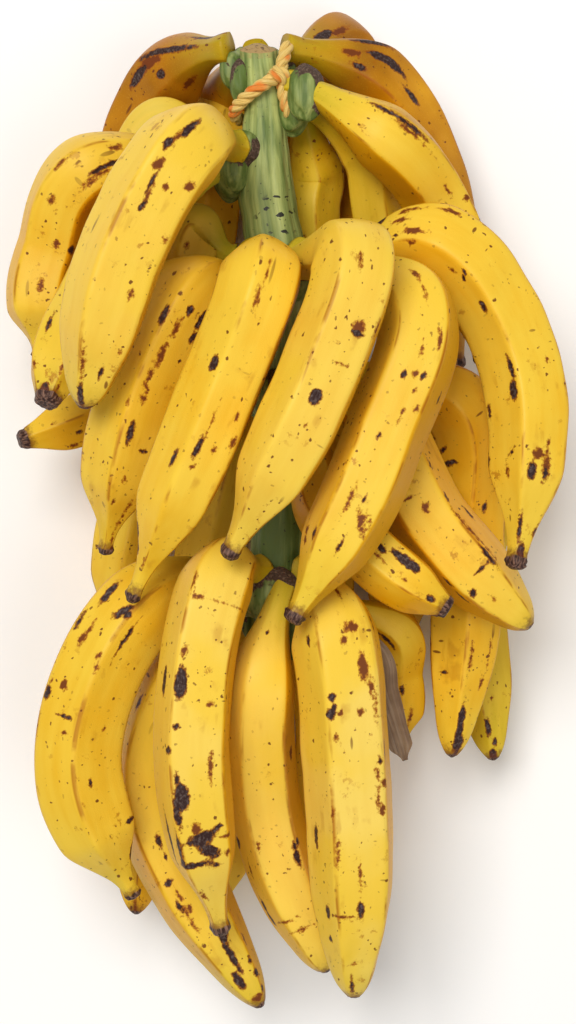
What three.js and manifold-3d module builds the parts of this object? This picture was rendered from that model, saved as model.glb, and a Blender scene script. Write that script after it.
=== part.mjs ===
// A bunch of plantains on its cut stalk, lying on its back.
// Millimetres, +Z up. The stalk runs along Y with its cut end at +Y, and the fingers hang towards -Y.
// Points of the layout are measured from the middle of the stalk, and the finished group is moved so
// that the origin is the middle of the underside of its bounding box.

import * as THREE from 'three';
import * as BufferGeometryUtils from 'three/addons/utils/BufferGeometryUtils.js';
import Module from 'manifold-3d';

const wasm = await Module();
wasm.setup();

// Driving dimensions

const GROUND = -120; // height of the surface that the bunch lies on, below the stalk's middle
const FLAT_DEPTH = 3; // how deep the lowest fingers are pressed flat
const GAP = 1.2; // space kept between neighbours
const FIT_GAP = 0.4; // space kept between a neck and the cushion that it grows from

const NECK_SHARE = 0.33; // neck thickness as a share of the finger's girth
const TIP_SHARE = 0.38; // thickness of the blunt tip as a share of the girth
const NECK_END = 0.04; // where the neck starts to swell, as a share of the length
const BODY_START = 0.28; // where the finger is first full
const TAPER_START = 0.65; // where it starts to narrow to the tip
const TAPER_POWER = 2.6;
const RIDGES = 5;
const FACE_SHARE = 0.91; // distance to the middle of a flat side as a share of the distance to a ridge
const OUTWARD_PULL = 160; // how strongly a finger sets out straight from the stalk

const SAMPLES = 26; // places along a finger where its neighbours are felt for
const FREE_FROM = 0.07; // nearer to its root a neck isn't moved by its neighbours
const CLEAR_FROM = 0.2; // nearer to its root a neck isn't moved by the stalk
const SETTLE_STEPS = 240;
const HOLD = 0.06; // share of the way back to its wanted place that a finger is drawn at first
const HOLD_UNTIL = 0.8; // share of the steps after which it is no longer drawn
const HOLD_UPRIGHT = 0.3; // how much weaker the draw is along Z
const FINGER_PUSH = 0.35; // share of an overlap that each of two fingers gives way by in a step
const FIXED_PUSH = 0.7; // the same against the stalk and the ground
const FACING_AT = 0.6; // share of the rings at which a finger's first ridge points out of the bunch
const RING_PLACES = [0, 0.06, 0.11, 0.17, 0.24, 0.33, 0.43, 0.53, 0.63, 0.73, 0.82, 0.89, 0.95, 1];

// The stalk: middle points and radii, from the cut end down
const STALK = [
  { at: [-20, 307, 4], radius: 12.5 },
  { at: [-16, 263, 2], radius: 13.5 },
  { at: [-14, 204, 0], radius: 19.5 },
  { at: [-7, 165, 0], radius: 20 },
  { at: [-3, 74, -4], radius: 20 },
  { at: [-6, -32, -5], radius: 19 },
  { at: [-7, -97, -5], radius: 13 },
];
const STALK_SIDES = 14;
const STALK_RINGS = 13;
const STALK_RIB = 0.95; // hollow between two ribs as a share of the radius
const CUSHION_RADIUS = 13;
const CUSHION_LENGTH = 1.5; // how much longer along the stalk than across it
const CUSHION_DROP = 7; // its middle lies this far below the necks
const CUSHION_OUT = 6; // the cushion's middle line stands this far outside the stalk
const CUSHION_SIDES = 8;
const CUSHION_STEP = 30; // degrees between its rings
const CUSHION_END = 0.45; // thickness of its two ends as a share of its middle
const CUSHION_BLUNT = 0.3; // power of its taper, smaller for blunter ends
const CUSHION_OVERHANG = 12; // degrees that a cushion runs on past its outer necks
const ROW_SHIFT = 6; // necks leave the cushion in two rows, this far above and below its height
const NECK_ROOT_OUT = 7; // a neck starts this far outside the stalk, inside the cushion
const STALK_TOP = STALK[0].at[1];
const STALK_END = STALK[STALK.length - 1].at[1];
const POSTS = 60; // places along the stalk where fingers are kept off it

// Swollen places on the stalk: the stump of a removed hand and the corky pads of the two upper hands.
// size is half the width, height and depth of each.
const GROWTHS = [
  { at: [-31, 281, 6], size: [6.75, 15, 8.1] },
  { at: [11.5, 271, 19], size: [11.5, 19, 9] },
  { at: [-30, 236, 12], size: [13.5, 12.5, 10] },
];

// The hands. Angles run round the stalk from +X over +Z, the side that faces up. A finger passes its
// shoulder and belly points and ends at its tip, and its girth is its greatest thickness.
const HANDS = [
  { name: 'upper_left', height: 230, fingers: [
    { angle: 140, shoulder: [-55, 231, 76], belly: [-96, 162, 92], tip: [-124, 63, 84], girth: 58 },
    { angle: 168, shoulder: [-82, 196, 20], belly: [-132, 126, 30], tip: [-151, 67, 64], girth: 48 },
    { angle: 196, shoulder: [-113, 228, 10], belly: [-154, 168, 5], tip: [-163, 101, 2], girth: 52 },
    { angle: 224, shoulder: [-72, 257, -34], belly: [-106, 208, -48], tip: [-126, 123, -54], girth: 47 },
  ] },
  { name: 'upper_right', height: 272, fingers: [
    { angle: -30, shoulder: [16, 242, -34], belly: [14, 200, -56], tip: [22, 106, -66], girth: 42 },
    { angle: -3, shoulder: [38, 252, -18], belly: [54, 204, -44], tip: [68, 108, -58], girth: 44 },
    { angle: 25, shoulder: [46, 251, 10], belly: [97, 198, -8], tip: [125, 92, -22], girth: 48 },
  ] },
  { name: 'upper_back', height: 298, fingers: [
    { angle: 195, shoulder: [-49, 295, -50], belly: [-76, 240, -78], tip: [-90, 140, -88], girth: 54 },
    { angle: 228, shoulder: [-44, 289, -80], belly: [-57, 232, -95], tip: [-62, 138, -95], girth: 50 },
    { angle: 265, shoulder: [-6, 290, -85], belly: [-9, 225, -95], tip: [-20, 127, -95], girth: 50 },
    { angle: 302, shoulder: [21, 318, -78], belly: [41, 247, -95], tip: [56, 140, -95], girth: 48 },
    { angle: 338, shoulder: [36, 297, -56], belly: [86, 228, -78], tip: [117, 98, -72], girth: 52 },
  ] },
  { name: 'middle_front', height: 160, fingers: [
    { angle: 184, shoulder: [-50, 181, 6], belly: [-77, 121, -14], tip: [-91, 41, -12], girth: 48 },
    { angle: 154, shoulder: [-57, 144, 34], belly: [-95, 74, 40], tip: [-112, -33, 35], girth: 56 },
    { angle: 122, shoulder: [-4, 151, 79], belly: [-37, 74, 95], tip: [-98, -56, 75], girth: 55 },
    { angle: 90, shoulder: [28, 152, 92], belly: [17, 84, 110], tip: [-38, -29, 92], girth: 56 },
    { angle: 58, shoulder: [70, 148, 66], belly: [58, 41, 85], tip: [3, -70, 85], girth: 54 },
    { angle: 26, shoulder: [76, 169, 42], belly: [147, 91, 35], tip: [134, -41, 30], girth: 56 },
  ] },
  { name: 'middle_back', height: 85, fingers: [
    { angle: 60, shoulder: [17, 21, 30], belly: [52, -30, 45], tip: [103, -60, 55], girth: 42 },
    { angle: 27, shoulder: [48, 70, 10], belly: [101, -5, 25], tip: [160, -72, 30], girth: 54 },
    { angle: 0, shoulder: [99, 84, -30], belly: [114, -20, -30], tip: [107, -164, -20], girth: 52 },
    { angle: -28, shoulder: [103, 50, -75], belly: [121, -54, -75], tip: [141, -170, -62], girth: 49 },
    { angle: -56, shoulder: [60, 77, -75], belly: [78, -6, -94], tip: [82, -105, -94], girth: 52 },
    { angle: -84, shoulder: [15, 78, -85], belly: [22, -6, -94], tip: [29, -117, -94], girth: 52 },
    { angle: -112, shoulder: [-30, 78, -85], belly: [-51, -6, -94], tip: [-68, -110, -94], girth: 52 },
    { angle: -140, shoulder: [-67, 77, -70], belly: [-103, 8, -90], tip: [-124, -89, -90], girth: 52 },
    { angle: 170, shoulder: [-49, 115, -30], belly: [-106, 68, -30], tip: [-180, 48, -20], girth: 40 },
  ] },
  { name: 'lower_front', height: -44, fingers: [
    { angle: 180, shoulder: [-84, -52, 32], belly: [-133, -150, 34], tip: [-97, -248, 20], girth: 59 },
    { angle: 150, shoulder: [-67, -89, 5], belly: [-90, -192, -6], tip: [-17, -324, 2], girth: 57 },
    { angle: 120, shoulder: [-38, -35, 54], belly: [-55, -142, 65], tip: [-42, -267, 50], girth: 53 },
    { angle: 84, shoulder: [-9, -83, 6], belly: [-10, -199, 4], tip: [27, -299, 8], girth: 49 },
    { angle: 48, shoulder: [24, -60, 52], belly: [37, -178, 55], tip: [42, -309, 40], girth: 60 },
  ] },
  { name: 'lower_back', height: -66, fingers: [
    { angle: 5, shoulder: [64, -71, -10], belly: [71, -112, -20], tip: [75, -155, -25], girth: 34 },
    { angle: -30, shoulder: [38, -98, -15], belly: [41, -184, -15], tip: [31, -277, -15], girth: 48 },
    { angle: -70, shoulder: [22, -102, -70], belly: [29, -194, -96], tip: [26, -289, -80], girth: 50 },
    { angle: -108, shoulder: [-33, -102, -70], belly: [-42, -194, -96], tip: [-51, -283, -80], girth: 50 },
    { angle: -146, shoulder: [-73, -87, -50], belly: [-95, -178, -72], tip: [-103, -272, -45], girth: 48 },
  ] },
];

// The dried bract hangs from the lower cushion as a narrow curled strip
const BRACT = {
  hand: 'lower_back', angle: 30, shoulder: [48, -84, 22], belly: [62, -118, 24], tip: [76, -161, 14],
  girth: 20,
};
const BRACT_THICKNESS = 2.4;
const BRACT_END_WIDTH = 0.45; // width of its ends as a share of its greatest width
const BRACT_CURL = 0.18; // how far its edges turn up, as a share of half its width
const BRACT_WIDE_UNTIL = 0.8; // share of its length past which it narrows no more

// The tie: a rope that leaves its knot on the stalk's right, runs round the back and up over the front
const ROPE_RADIUS = 4.5;
const ROPE_SIDES = 8;
const ROPE_CLEARANCE = 0.8;
const ROPE_STEP = 9; // distance between the rings of its tube
const TIE_ROUTE = [
  { angle: 44, height: 279 },
  { angle: 40, height: 268 },
  { angle: 32, height: 260 },
  { angle: 12, height: 257 },
  { angle: -20, height: 256 },
  { angle: -65, height: 256 },
  { angle: -110, height: 257 },
  { angle: -150, height: 259 },
  { angle: -185, height: 261 },
  { angle: -215, height: 265 },
  { angle: -245, height: 270 },
  { angle: -275, height: 276 },
  { angle: -305, height: 281 },
];
const KNOT = { angle: 50, height: 282, radius: 8 };
const ROPE_END = [0, 305, 13];

const FINGER_ROUGHNESS = 0.45;
const STALK_ROUGHNESS = 0.6;
const BRACT_ROUGHNESS = 0.8;
const TIE_ROUGHNESS = 0.9;
const COLOURS = {
  stalk: '#7d9a45',
  bract: '#7a6a58',
  tie: '#e3c069',
  upper_left: '#e6bd3e',
  upper_right: '#dcae35',
  upper_back: '#c8932c',
  middle_front: '#efcb4f',
  middle_back: '#dca63a',
  lower_front: '#e9c348',
  lower_back: '#cf9a33',
};

const Z_AXIS = new THREE.Vector3(0, 0, 1);
const radians = THREE.MathUtils.degToRad;
const smoothstep = THREE.MathUtils.smoothstep;
const counts = (count) => [...Array(count).keys()];

// Place and radius of the stalk's middle line at a height along Y
function stalkAt(y) {
  const high = STALK.findIndex((ring) => ring.at[1] < y);
  const next = Math.max(1, high < 0 ? STALK.length - 1 : high);
  const from = STALK[next - 1];
  const to = STALK[next];
  const share = THREE.MathUtils.clamp((y - from.at[1]) / (to.at[1] - from.at[1]), 0, 1);
  const centre = new THREE.Vector3(...from.at).lerp(new THREE.Vector3(...to.at), share);
  centre.y = y;
  return { centre, radius: THREE.MathUtils.lerp(from.radius, to.radius, share) };
}

// Direction out of the stalk at an angle round it
function outwardAt(degrees) {
  return new THREE.Vector3(Math.cos(radians(degrees)), 0, Math.sin(radians(degrees)));
}

// Closed surface through rings of points. Each ring runs counter-clockwise about the way the rings
// advance, and the two ends are closed by fans.
function loft(rings) {
  const sides = rings[0].length;
  const positions = rings.flat().flatMap((point) => point.toArray());
  const indices = [];
  for (let band = 0; band < rings.length - 1; band += 1) {
    const low = band * sides;
    const high = low + sides;
    for (let side = 0; side < sides; side += 1) {
      const next = (side + 1) % sides;
      indices.push(low + side, low + next, high + side);
      indices.push(low + next, high + next, high + side);
    }
  }
  [rings[0], rings[rings.length - 1]].forEach((ring, end) => {
    const middle = ring.reduce((sum, point) => sum.add(point), new THREE.Vector3());
    positions.push(...middle.divideScalar(sides).toArray());
    const hub = positions.length / 3 - 1;
    const start = end === 0 ? 0 : (rings.length - 1) * sides;
    for (let side = 0; side < sides; side += 1) {
      const next = (side + 1) % sides;
      const pair = end === 0 ? [start + next, start + side] : [start + side, start + next];
      indices.push(hub, ...pair);
    }
  });
  const geometry = new THREE.BufferGeometry();
  geometry.setAttribute('position', new THREE.Float32BufferAttribute(positions, 3));
  geometry.setIndex(indices);
  return geometry;
}

const MERGE_DISTANCE = 1e-4;

function toSolid(geometry) {
  const bare = geometry.clone();
  bare.deleteAttribute('normal');
  bare.deleteAttribute('uv');
  const merged = BufferGeometryUtils.mergeVertices(bare, MERGE_DISTANCE);
  return new wasm.Manifold(new wasm.Mesh({
    numProp: 3,
    vertProperties: new Float32Array(merged.attributes.position.array),
    triVerts: new Uint32Array(merged.index.array),
  }));
}

function toGeometry(solid) {
  const mesh = solid.getMesh();
  const geometry = new THREE.BufferGeometry();
  geometry.setAttribute('position', new THREE.BufferAttribute(new Float32Array(mesh.vertProperties), 3));
  geometry.setIndex(new THREE.BufferAttribute(new Uint32Array(mesh.triVerts), 1));
  return geometry;
}

function largestPiece(solid) {
  const pieces = solid.decompose();
  return pieces.reduce((best, piece) => (piece.volume() > best.volume() ? piece : best));
}

// Shares of a finger's length at which it is at its root, shoulder, belly and tip
const PASSES = [0, 0.2, 0.6, 1];

// The shape of a finger's middle line. It leaves its root along the outward direction and passes the
// shoulder, belly and tip at fixed shares of its length, with smooth slopes between them. Each row of
// weights multiplies root, shoulder, belly, tip and outward direction.
function slopeWeights() {
  const slopes = PASSES.map(() => [0, 0, 0, 0, 0]);
  slopes[0][4] = OUTWARD_PULL;
  for (const at of [1, 2]) {
    const before = PASSES[at] - PASSES[at - 1];
    const after = PASSES[at + 1] - PASSES[at];
    const share = after / (before + after);
    slopes[at][at - 1] -= share / before;
    slopes[at][at] += share / before - (1 - share) / after;
    slopes[at][at + 1] += (1 - share) / after;
  }
  const last = PASSES[3] - PASSES[2];
  slopes[3] = slopes[2].map((weight) => -0.5 * weight);
  slopes[3][3] += 1.5 / last;
  slopes[3][2] -= 1.5 / last;
  return slopes;
}

const SLOPES = slopeWeights();

function curveWeights(place) {
  const at = place >= PASSES[2] ? 2 : Math.max(0, PASSES.findIndex((pass) => pass > place) - 1);
  const span = PASSES[at + 1] - PASSES[at];
  const u = (place - PASSES[at]) / span;
  const weights = [0, 0, 0, 0, 0];
  weights[at] += 2 * u ** 3 - 3 * u ** 2 + 1;
  weights[at + 1] += 3 * u ** 2 - 2 * u ** 3;
  const leave = (u ** 3 - 2 * u ** 2 + u) * span;
  const arrive = (u ** 3 - u ** 2) * span;
  return weights.map((weight, k) => weight + leave * SLOPES[at][k] + arrive * SLOPES[at + 1][k]);
}

// Share of the girth at a share of the length
function fullness(place) {
  const swell = NECK_SHARE + (1 - NECK_SHARE) * smoothstep(place, NECK_END, BODY_START);
  const past = Math.max(0, (place - TAPER_START) / (1 - TAPER_START));
  return Math.min(swell, 1 - (1 - TIP_SHARE) * past ** TAPER_POWER);
}

// One piece of the layout: a middle line held by its root, with three points that can be moved
function makeStrand(spec, height) {
  const { centre, radius } = stalkAt(height);
  const outward = outwardAt(spec.angle);
  const root = centre.clone().addScaledVector(outward, radius + NECK_ROOT_OUT);
  const wanted = [spec.shoulder, spec.belly, spec.tip].map((point) => new THREE.Vector3(...point));
  return { root, outward, wanted, points: wanted.map((point) => point.clone()), girth: spec.girth };
}

function pointAt(strand, place) {
  const weights = curveWeights(place);
  const point = strand.root.clone().multiplyScalar(weights[0]);
  strand.points.forEach((fixed, k) => point.addScaledVector(fixed, weights[k + 1]));
  return point.addScaledVector(strand.outward, weights[4]);
}

// Moves the three points of a strand so that its middle line shifts by a step at one sample
function nudge(strand, weights, step) {
  const size = weights[1] ** 2 + weights[2] ** 2 + weights[3] ** 2;
  strand.points.forEach((point, k) => point.addScaledVector(step, weights[k + 1] / size));
}

// Lets the strands push each other, the stalk and the ground away until none cross, while each is
// drawn back to where it was wanted, less and less as the steps go by
function settle(strands) {
  const places = counts(SAMPLES).map((k) => k / (SAMPLES - 1)).filter((place) => place > FREE_FROM);
  const rows = places.map(curveWeights);
  const neck = places.findIndex((place) => place > CLEAR_FROM);
  const thickness = places.map((place) => fullness(place) / 2);
  const posts = counts(POSTS).map((k) => {
    const post = stalkAt(STALK_END + (k * (STALK_TOP - STALK_END)) / (POSTS - 1));
    const clear = Math.max(...HANDS.map(({ height }) => (
      1 - Math.abs(post.centre.y - height + CUSHION_DROP) / (CUSHION_LENGTH * CUSHION_RADIUS + GAP))));
    post.radius += (CUSHION_OUT + CUSHION_RADIUS) * Math.sqrt(Math.max(0, clear));
    return post;
  });
  const trunk = posts.map((post) => post.centre);
  for (let step = 0; step < SETTLE_STEPS; step += 1) {
    const hold = HOLD * Math.max(0, 1 - step / (HOLD_UNTIL * SETTLE_STEPS));
    const draw = new THREE.Vector3(hold, hold, hold * HOLD_UPRIGHT);
    for (const strand of strands) {
      strand.points.forEach((point, k) => {
        point.add(strand.wanted[k].clone().sub(point).multiply(draw));
      });
    }
    const lines = strands.map((strand) => places.map((place) => pointAt(strand, place)));
    const boxes = strands.map((strand, i) => (
      new THREE.Box3().setFromPoints(lines[i]).expandByScalar(strand.girth / 2 + GAP)));
    strands.forEach((strand, i) => {
      strands.forEach((other, j) => {
        if (j !== i && boxes[i].intersectsBox(boxes[j])) {
          const reach = (v) => other.girth * thickness[v];
          pushApart(strand, lines[i], lines[j], rows, thickness, reach, FINGER_PUSH);
        }
      });
      const clear = lines[i].slice(neck);
      const width = (v) => posts[v].radius;
      pushApart(strand, clear, trunk, rows.slice(neck), thickness.slice(neck), width, FIXED_PUSH);
      let lowest = 0;
      let depth = 0;
      lines[i].forEach((point, u) => {
        const sink = GROUND + strand.girth * thickness[u] - point.z;
        if (sink > depth) {
          depth = sink;
          lowest = u;
        }
      });
      if (depth > 0) {
        nudge(strand, rows[lowest], Z_AXIS.clone().multiplyScalar(FIXED_PUSH * depth));
      }
    });
  }
}

// Pushes a strand away from another line at the place where the two run deepest into each other
function pushApart(strand, line, others, rows, thickness, otherRadius, force) {
  let deepest = 0;
  let found = null;
  line.forEach((point, u) => {
    others.forEach((other, v) => {
      const room = strand.girth * thickness[u] + otherRadius(v) + GAP;
      const dx = point.x - other.x;
      const dy = point.y - other.y;
      const dz = point.z - other.z;
      const squared = dx * dx + dy * dy + dz * dz;
      if (squared < room * room && room - Math.sqrt(squared) > deepest) {
        deepest = room - Math.sqrt(squared);
        found = { u, away: new THREE.Vector3(dx, dy, dz) };
      }
    });
  });
  if (found) {
    nudge(strand, rows[found.u], found.away.normalize().multiplyScalar(force * deepest));
  }
}

// Directions across a middle line, carried along it without twist from the belly both ways. The
// first direction points away from the stalk at the belly, or the way that the strand is told to face.
function framesAlong(points, facing = null) {
  const count = points.length;
  const tangents = points.map((point, k) => {
    const ahead = points[Math.min(count - 1, k + 1)];
    return ahead.clone().sub(points[Math.max(0, k - 1)]).normalize();
  });
  const middle = Math.floor(count * FACING_AT);
  const { centre } = stalkAt(points[middle].y);
  const normals = [];
  const square = (vector, tangent) => vector.addScaledVector(tangent, -vector.dot(tangent)).normalize();
  normals[middle] = square(facing ? facing.clone() : points[middle].clone().sub(centre), tangents[middle]);
  for (let k = middle + 1; k < count; k += 1) {
    normals[k] = square(normals[k - 1].clone(), tangents[k]);
  }
  for (let k = middle - 1; k >= 0; k -= 1) {
    normals[k] = square(normals[k + 1].clone(), tangents[k]);
  }
  return points.map((point, k) => ({
    point,
    across: normals[k],
    side: tangents[k].clone().cross(normals[k]),
  }));
}

// Ring of points round a place on a middle line, each at a distance of its own
function ringAt({ point, across, side }, sides, distance) {
  return counts(sides).map((k) => {
    const angle = (k / sides) * 2 * Math.PI;
    const reach = distance(k);
    return point.clone()
      .addScaledVector(across, Math.cos(angle) * reach)
      .addScaledVector(side, Math.sin(angle) * reach);
  });
}

function fingerSolid(strand) {
  const frames = framesAlong(RING_PLACES.map((place) => pointAt(strand, place)));
  const rings = frames.map((frame, row) => {
    const radius = (strand.girth / 2) * fullness(RING_PLACES[row]);
    return ringAt(frame, 2 * RIDGES, (k) => radius * (k % 2 ? FACE_SHARE : 1));
  });
  return toSolid(loft(rings));
}

function bractSolid(strand) {
  const frames = framesAlong(RING_PLACES.map((place) => pointAt(strand, place)), Z_AXIS);
  const rings = frames.map((frame, row) => {
    const swell = Math.sin(Math.PI * Math.min(BRACT_WIDE_UNTIL, RING_PLACES[row]));
    const half = (strand.girth / 2) * (BRACT_END_WIDTH + (1 - BRACT_END_WIDTH) * swell);
    const corners = [[-1, 0], [0, 0.5], [1, 0], [0, -0.5]];
    return corners.map(([wide, thick]) => frame.point.clone()
      .addScaledVector(frame.side, wide * half)
      .addScaledVector(frame.across, thick * BRACT_THICKNESS + BRACT_CURL * half * wide * wide));
  });
  return toSolid(loft(rings));
}

// Stalk with a cushion for each hand, grown by a margin on every side
function stalkSolid(margin) {
  const rings = counts(STALK_RINGS).map((row) => {
    const { centre, radius } = stalkAt(STALK_TOP + (row / (STALK_RINGS - 1)) * (STALK_END - STALK_TOP));
    const frame = { point: centre, across: outwardAt(0), side: outwardAt(90) };
    const isEnd = row === 0 || row === STALK_RINGS - 1;
    frame.point.y += isEnd ? Math.sign(centre.y) * margin : 0;
    return ringAt(frame, STALK_SIDES, (k) => radius * (k % 2 ? STALK_RIB : 1) + margin);
  });
  const cushions = HANDS.map((hand) => cushionSolid(hand, margin));
  const growths = GROWTHS.map(({ at, size }) => {
    const ball = new THREE.SphereGeometry(1, 10, 7);
    ball.scale(...size.map((half) => half + margin));
    ball.translate(...at);
    return toSolid(ball);
  });
  return [...cushions, ...growths].reduce((sum, solid) => sum.add(solid), toSolid(loft(rings)));
}

// Rounded bar that lies round the stalk behind the necks of a hand
function cushionSolid(hand, margin) {
  const angles = unwrap(hand.fingers.map((finger) => finger.angle));
  const first = Math.min(...angles) - CUSHION_OVERHANG;
  const last = Math.max(...angles) + CUSHION_OVERHANG;
  const { centre, radius } = stalkAt(hand.height);
  const steps = Math.ceil((last - first) / CUSHION_STEP) + 3;
  const rings = counts(steps + 1).map((k) => {
    const share = (1 - Math.cos((Math.PI * k) / steps)) / 2;
    const across = outwardAt(first + share * (last - first));
    const point = centre.clone().addScaledVector(across, radius + CUSHION_OUT);
    point.y -= CUSHION_DROP;
    const side = new THREE.Vector3(0, CUSHION_LENGTH, 0);
    const fullShare = Math.max(CUSHION_END, Math.sin(Math.PI * share) ** CUSHION_BLUNT);
    return ringAt({ point, across, side }, CUSHION_SIDES, () => CUSHION_RADIUS * fullShare + margin);
  });
  return toSolid(loft(rings));
}

// Angles of a hand as one run without a jump at the full turn
function unwrap(angles) {
  const start = angles[0];
  return angles.map((angle) => start + ((((angle - start + 180) % 360) + 360) % 360) - 180);
}

// Place of the rope's middle line beside the stalk
function besideStalk({ angle, height }) {
  const { centre, radius } = stalkAt(height);
  return centre.addScaledVector(outwardAt(angle), radius + ROPE_RADIUS + ROPE_CLEARANCE);
}

// Rope with its knot and free end, grown by a margin on every side
function tieSolid(margin) {
  const route = new THREE.CatmullRomCurve3(TIE_ROUTE.map(besideStalk));
  const steps = Math.round(route.getLength() / ROPE_STEP);
  const points = route.getSpacedPoints(steps);
  const rings = points.map((point, k) => {
    const tangent = route.getTangentAt(k / steps);
    const across = point.clone().sub(stalkAt(point.y).centre);
    across.addScaledVector(tangent, -across.dot(tangent)).normalize();
    const frame = { point, across, side: tangent.clone().cross(across) };
    return ringAt(frame, ROPE_SIDES, () => ROPE_RADIUS + margin);
  });
  const half = Math.floor(steps / 2);
  const knot = besideStalk(KNOT);
  const lump = new THREE.SphereGeometry(KNOT.radius + margin, 10, 8);
  lump.translate(knot.x, knot.y, knot.z);
  const end = framesAlong([knot, new THREE.Vector3(...ROPE_END)]);
  const parts = [
    loft(rings.slice(0, half + 1)),
    loft(rings.slice(half)),
    lump,
    loft(end.map((frame) => ringAt(frame, ROPE_SIDES, () => ROPE_RADIUS + margin))),
  ];
  return parts.map(toSolid).reduce((sum, part) => sum.add(part));
}

const strands = HANDS.flatMap((hand) => hand.fingers.map((finger, k) => ({
  name: `${hand.name}_finger_${k + 1}`,
  hand: hand.name,
  strand: makeStrand(finger, hand.height + (k % 2 ? -ROW_SHIFT : ROW_SHIFT)),
})));
const bractHand = HANDS.find((hand) => hand.name === BRACT.hand);
const bract = makeStrand(BRACT, bractHand.height);
settle([...strands.map((piece) => piece.strand), bract]);

const bunch = new THREE.Group();

function addMesh(name, solid, colour, roughness) {
  const material = new THREE.MeshStandardMaterial({ color: colour, roughness, metalness: 0 });
  const mesh = new THREE.Mesh(toGeometry(solid), material);
  mesh.name = name;
  bunch.add(mesh);
}

// The surface below, which presses small flat spots on the lowest fingers
function groundSolid() {
  const wide = 900;
  const deep = 100;
  const block = new THREE.BoxGeometry(wide, wide, deep);
  block.translate(0, 0, GROUND + FLAT_DEPTH - deep / 2);
  return toSolid(block);
}

const ground = groundSolid();
const tieRoom = tieSolid(FIT_GAP);
const stalkRoom = stalkSolid(FIT_GAP).add(tieRoom);
addMesh('stalk', largestPiece(stalkSolid(0).subtract(tieRoom)), COLOURS.stalk, STALK_ROUGHNESS);
for (const { name, hand, strand } of strands) {
  const solid = largestPiece(fingerSolid(strand).subtract(stalkRoom).subtract(ground));
  addMesh(name, solid, COLOURS[hand], FINGER_ROUGHNESS);
}
const bractPiece = largestPiece(bractSolid(bract).subtract(stalkRoom));
addMesh('dried_bract', bractPiece, COLOURS.bract, BRACT_ROUGHNESS);
addMesh('tie', tieSolid(0), COLOURS.tie, TIE_ROUGHNESS);

const bounds = new THREE.Box3().setFromObject(bunch);
const middle = bounds.getCenter(new THREE.Vector3());
bunch.position.set(-middle.x, -middle.y, -bounds.min.z);
bunch.updateMatrixWorld(true);

export default bunch;
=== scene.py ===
import logging
import math
from dataclasses import dataclass, field
from enum import Enum
from typing import Any, Sequence

import bpy
import numpy as np
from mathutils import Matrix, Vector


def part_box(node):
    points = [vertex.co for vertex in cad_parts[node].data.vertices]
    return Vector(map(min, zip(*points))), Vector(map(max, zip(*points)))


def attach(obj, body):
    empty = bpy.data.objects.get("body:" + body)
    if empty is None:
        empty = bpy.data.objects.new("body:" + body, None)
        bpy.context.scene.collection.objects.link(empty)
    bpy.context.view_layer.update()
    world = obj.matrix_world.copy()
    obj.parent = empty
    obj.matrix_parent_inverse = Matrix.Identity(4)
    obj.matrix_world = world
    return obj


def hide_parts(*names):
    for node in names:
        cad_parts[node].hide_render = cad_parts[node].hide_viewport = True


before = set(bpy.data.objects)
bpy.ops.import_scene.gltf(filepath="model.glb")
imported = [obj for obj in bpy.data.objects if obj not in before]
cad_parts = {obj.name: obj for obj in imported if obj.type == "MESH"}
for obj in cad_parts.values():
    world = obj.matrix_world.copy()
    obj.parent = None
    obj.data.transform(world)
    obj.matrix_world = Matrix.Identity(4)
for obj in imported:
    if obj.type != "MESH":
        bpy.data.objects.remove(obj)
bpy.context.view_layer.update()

Array = np.ndarray
Colour = tuple[float, float, float]
Point = tuple[float, float, float]

# Sizes are in millimetres. Points are measured from the middle of the stalk, and Layout.place moves them
# to the frame. The fingers settle by the same values as the solids did.
GROUND = -120.0
FLAT_DEPTH = 3.0
GAP = 1.2
NECK_SHARE = 0.33
TIP_SHARE = 0.38
NECK_END = 0.04
BODY_START = 0.28
TAPER_START = 0.65
TAPER_POWER = 2.6
RIDGES = 5
FACE_SHARE = 0.91
OUTWARD_PULL = 160.0
SAMPLES = 26
FREE_FROM = 0.07
CLEAR_FROM = 0.2
SETTLE_STEPS = 240
HOLD = 0.06
HOLD_UNTIL = 0.8
HOLD_UPRIGHT = 0.3
FINGER_PUSH = 0.35
FIXED_PUSH = 0.7
POSTS = 60
RING_PLACES = (0, 0.06, 0.11, 0.17, 0.24, 0.33, 0.43, 0.53, 0.63, 0.73, 0.82, 0.89, 0.95, 1)
FACING_RING = 8  # the ring at which a finger's first direction faces away from the stalk
PASSES = (0.0, 0.2, 0.6, 1.0)

STALK = (
    (-20, 307, 4, 12.5),
    (-16, 263, 2, 13.5),
    (-14, 204, 0, 19.5),
    (-7, 165, 0, 20),
    (-3, 74, -4, 20),
    (-6, -32, -5, 19),
    (-7, -97, -5, 13),
)
STALK_RIBS = 7
CUSHION_RADIUS = 13.0
CUSHION_LENGTH = 1.5
CUSHION_DROP = 7.0
CUSHION_OUT = 6.0
CUSHION_END = 0.45
CUSHION_BLUNT = 0.3
CUSHION_OVERHANG = 12.0
ROW_SHIFT = 6.0
NECK_ROOT_OUT = 7.0

ROPE_RADIUS = 4.5
ROPE_CLEARANCE = 0.8
TIE_ROUTE = (
    (44, 279), (40, 268), (32, 260), (12, 257), (-20, 256), (-65, 256), (-110, 257),
    (-150, 259), (-185, 261), (-215, 265), (-245, 270), (-275, 276), (-305, 281),
)
KNOT_AT = (50, 282)
ROPE_END = (0.0, 305.0, 13.0)

# The camera looks straight down on the bunch from this far above the stalk
CAMERA_RISE = 1400.0
PHOTO_SIZE = (576, 1024)
PHOTO_SCALE = 0.655  # millimetres that one pixel covers at the stalk's height
SENSOR = 36.0

# Painted light on the skin: the palest sides face this way, and painted shade makes the sides square to it
# the most golden
PAINTED_LIGHT_WAY = (-0.12, 0.25, 0.95)
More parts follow.
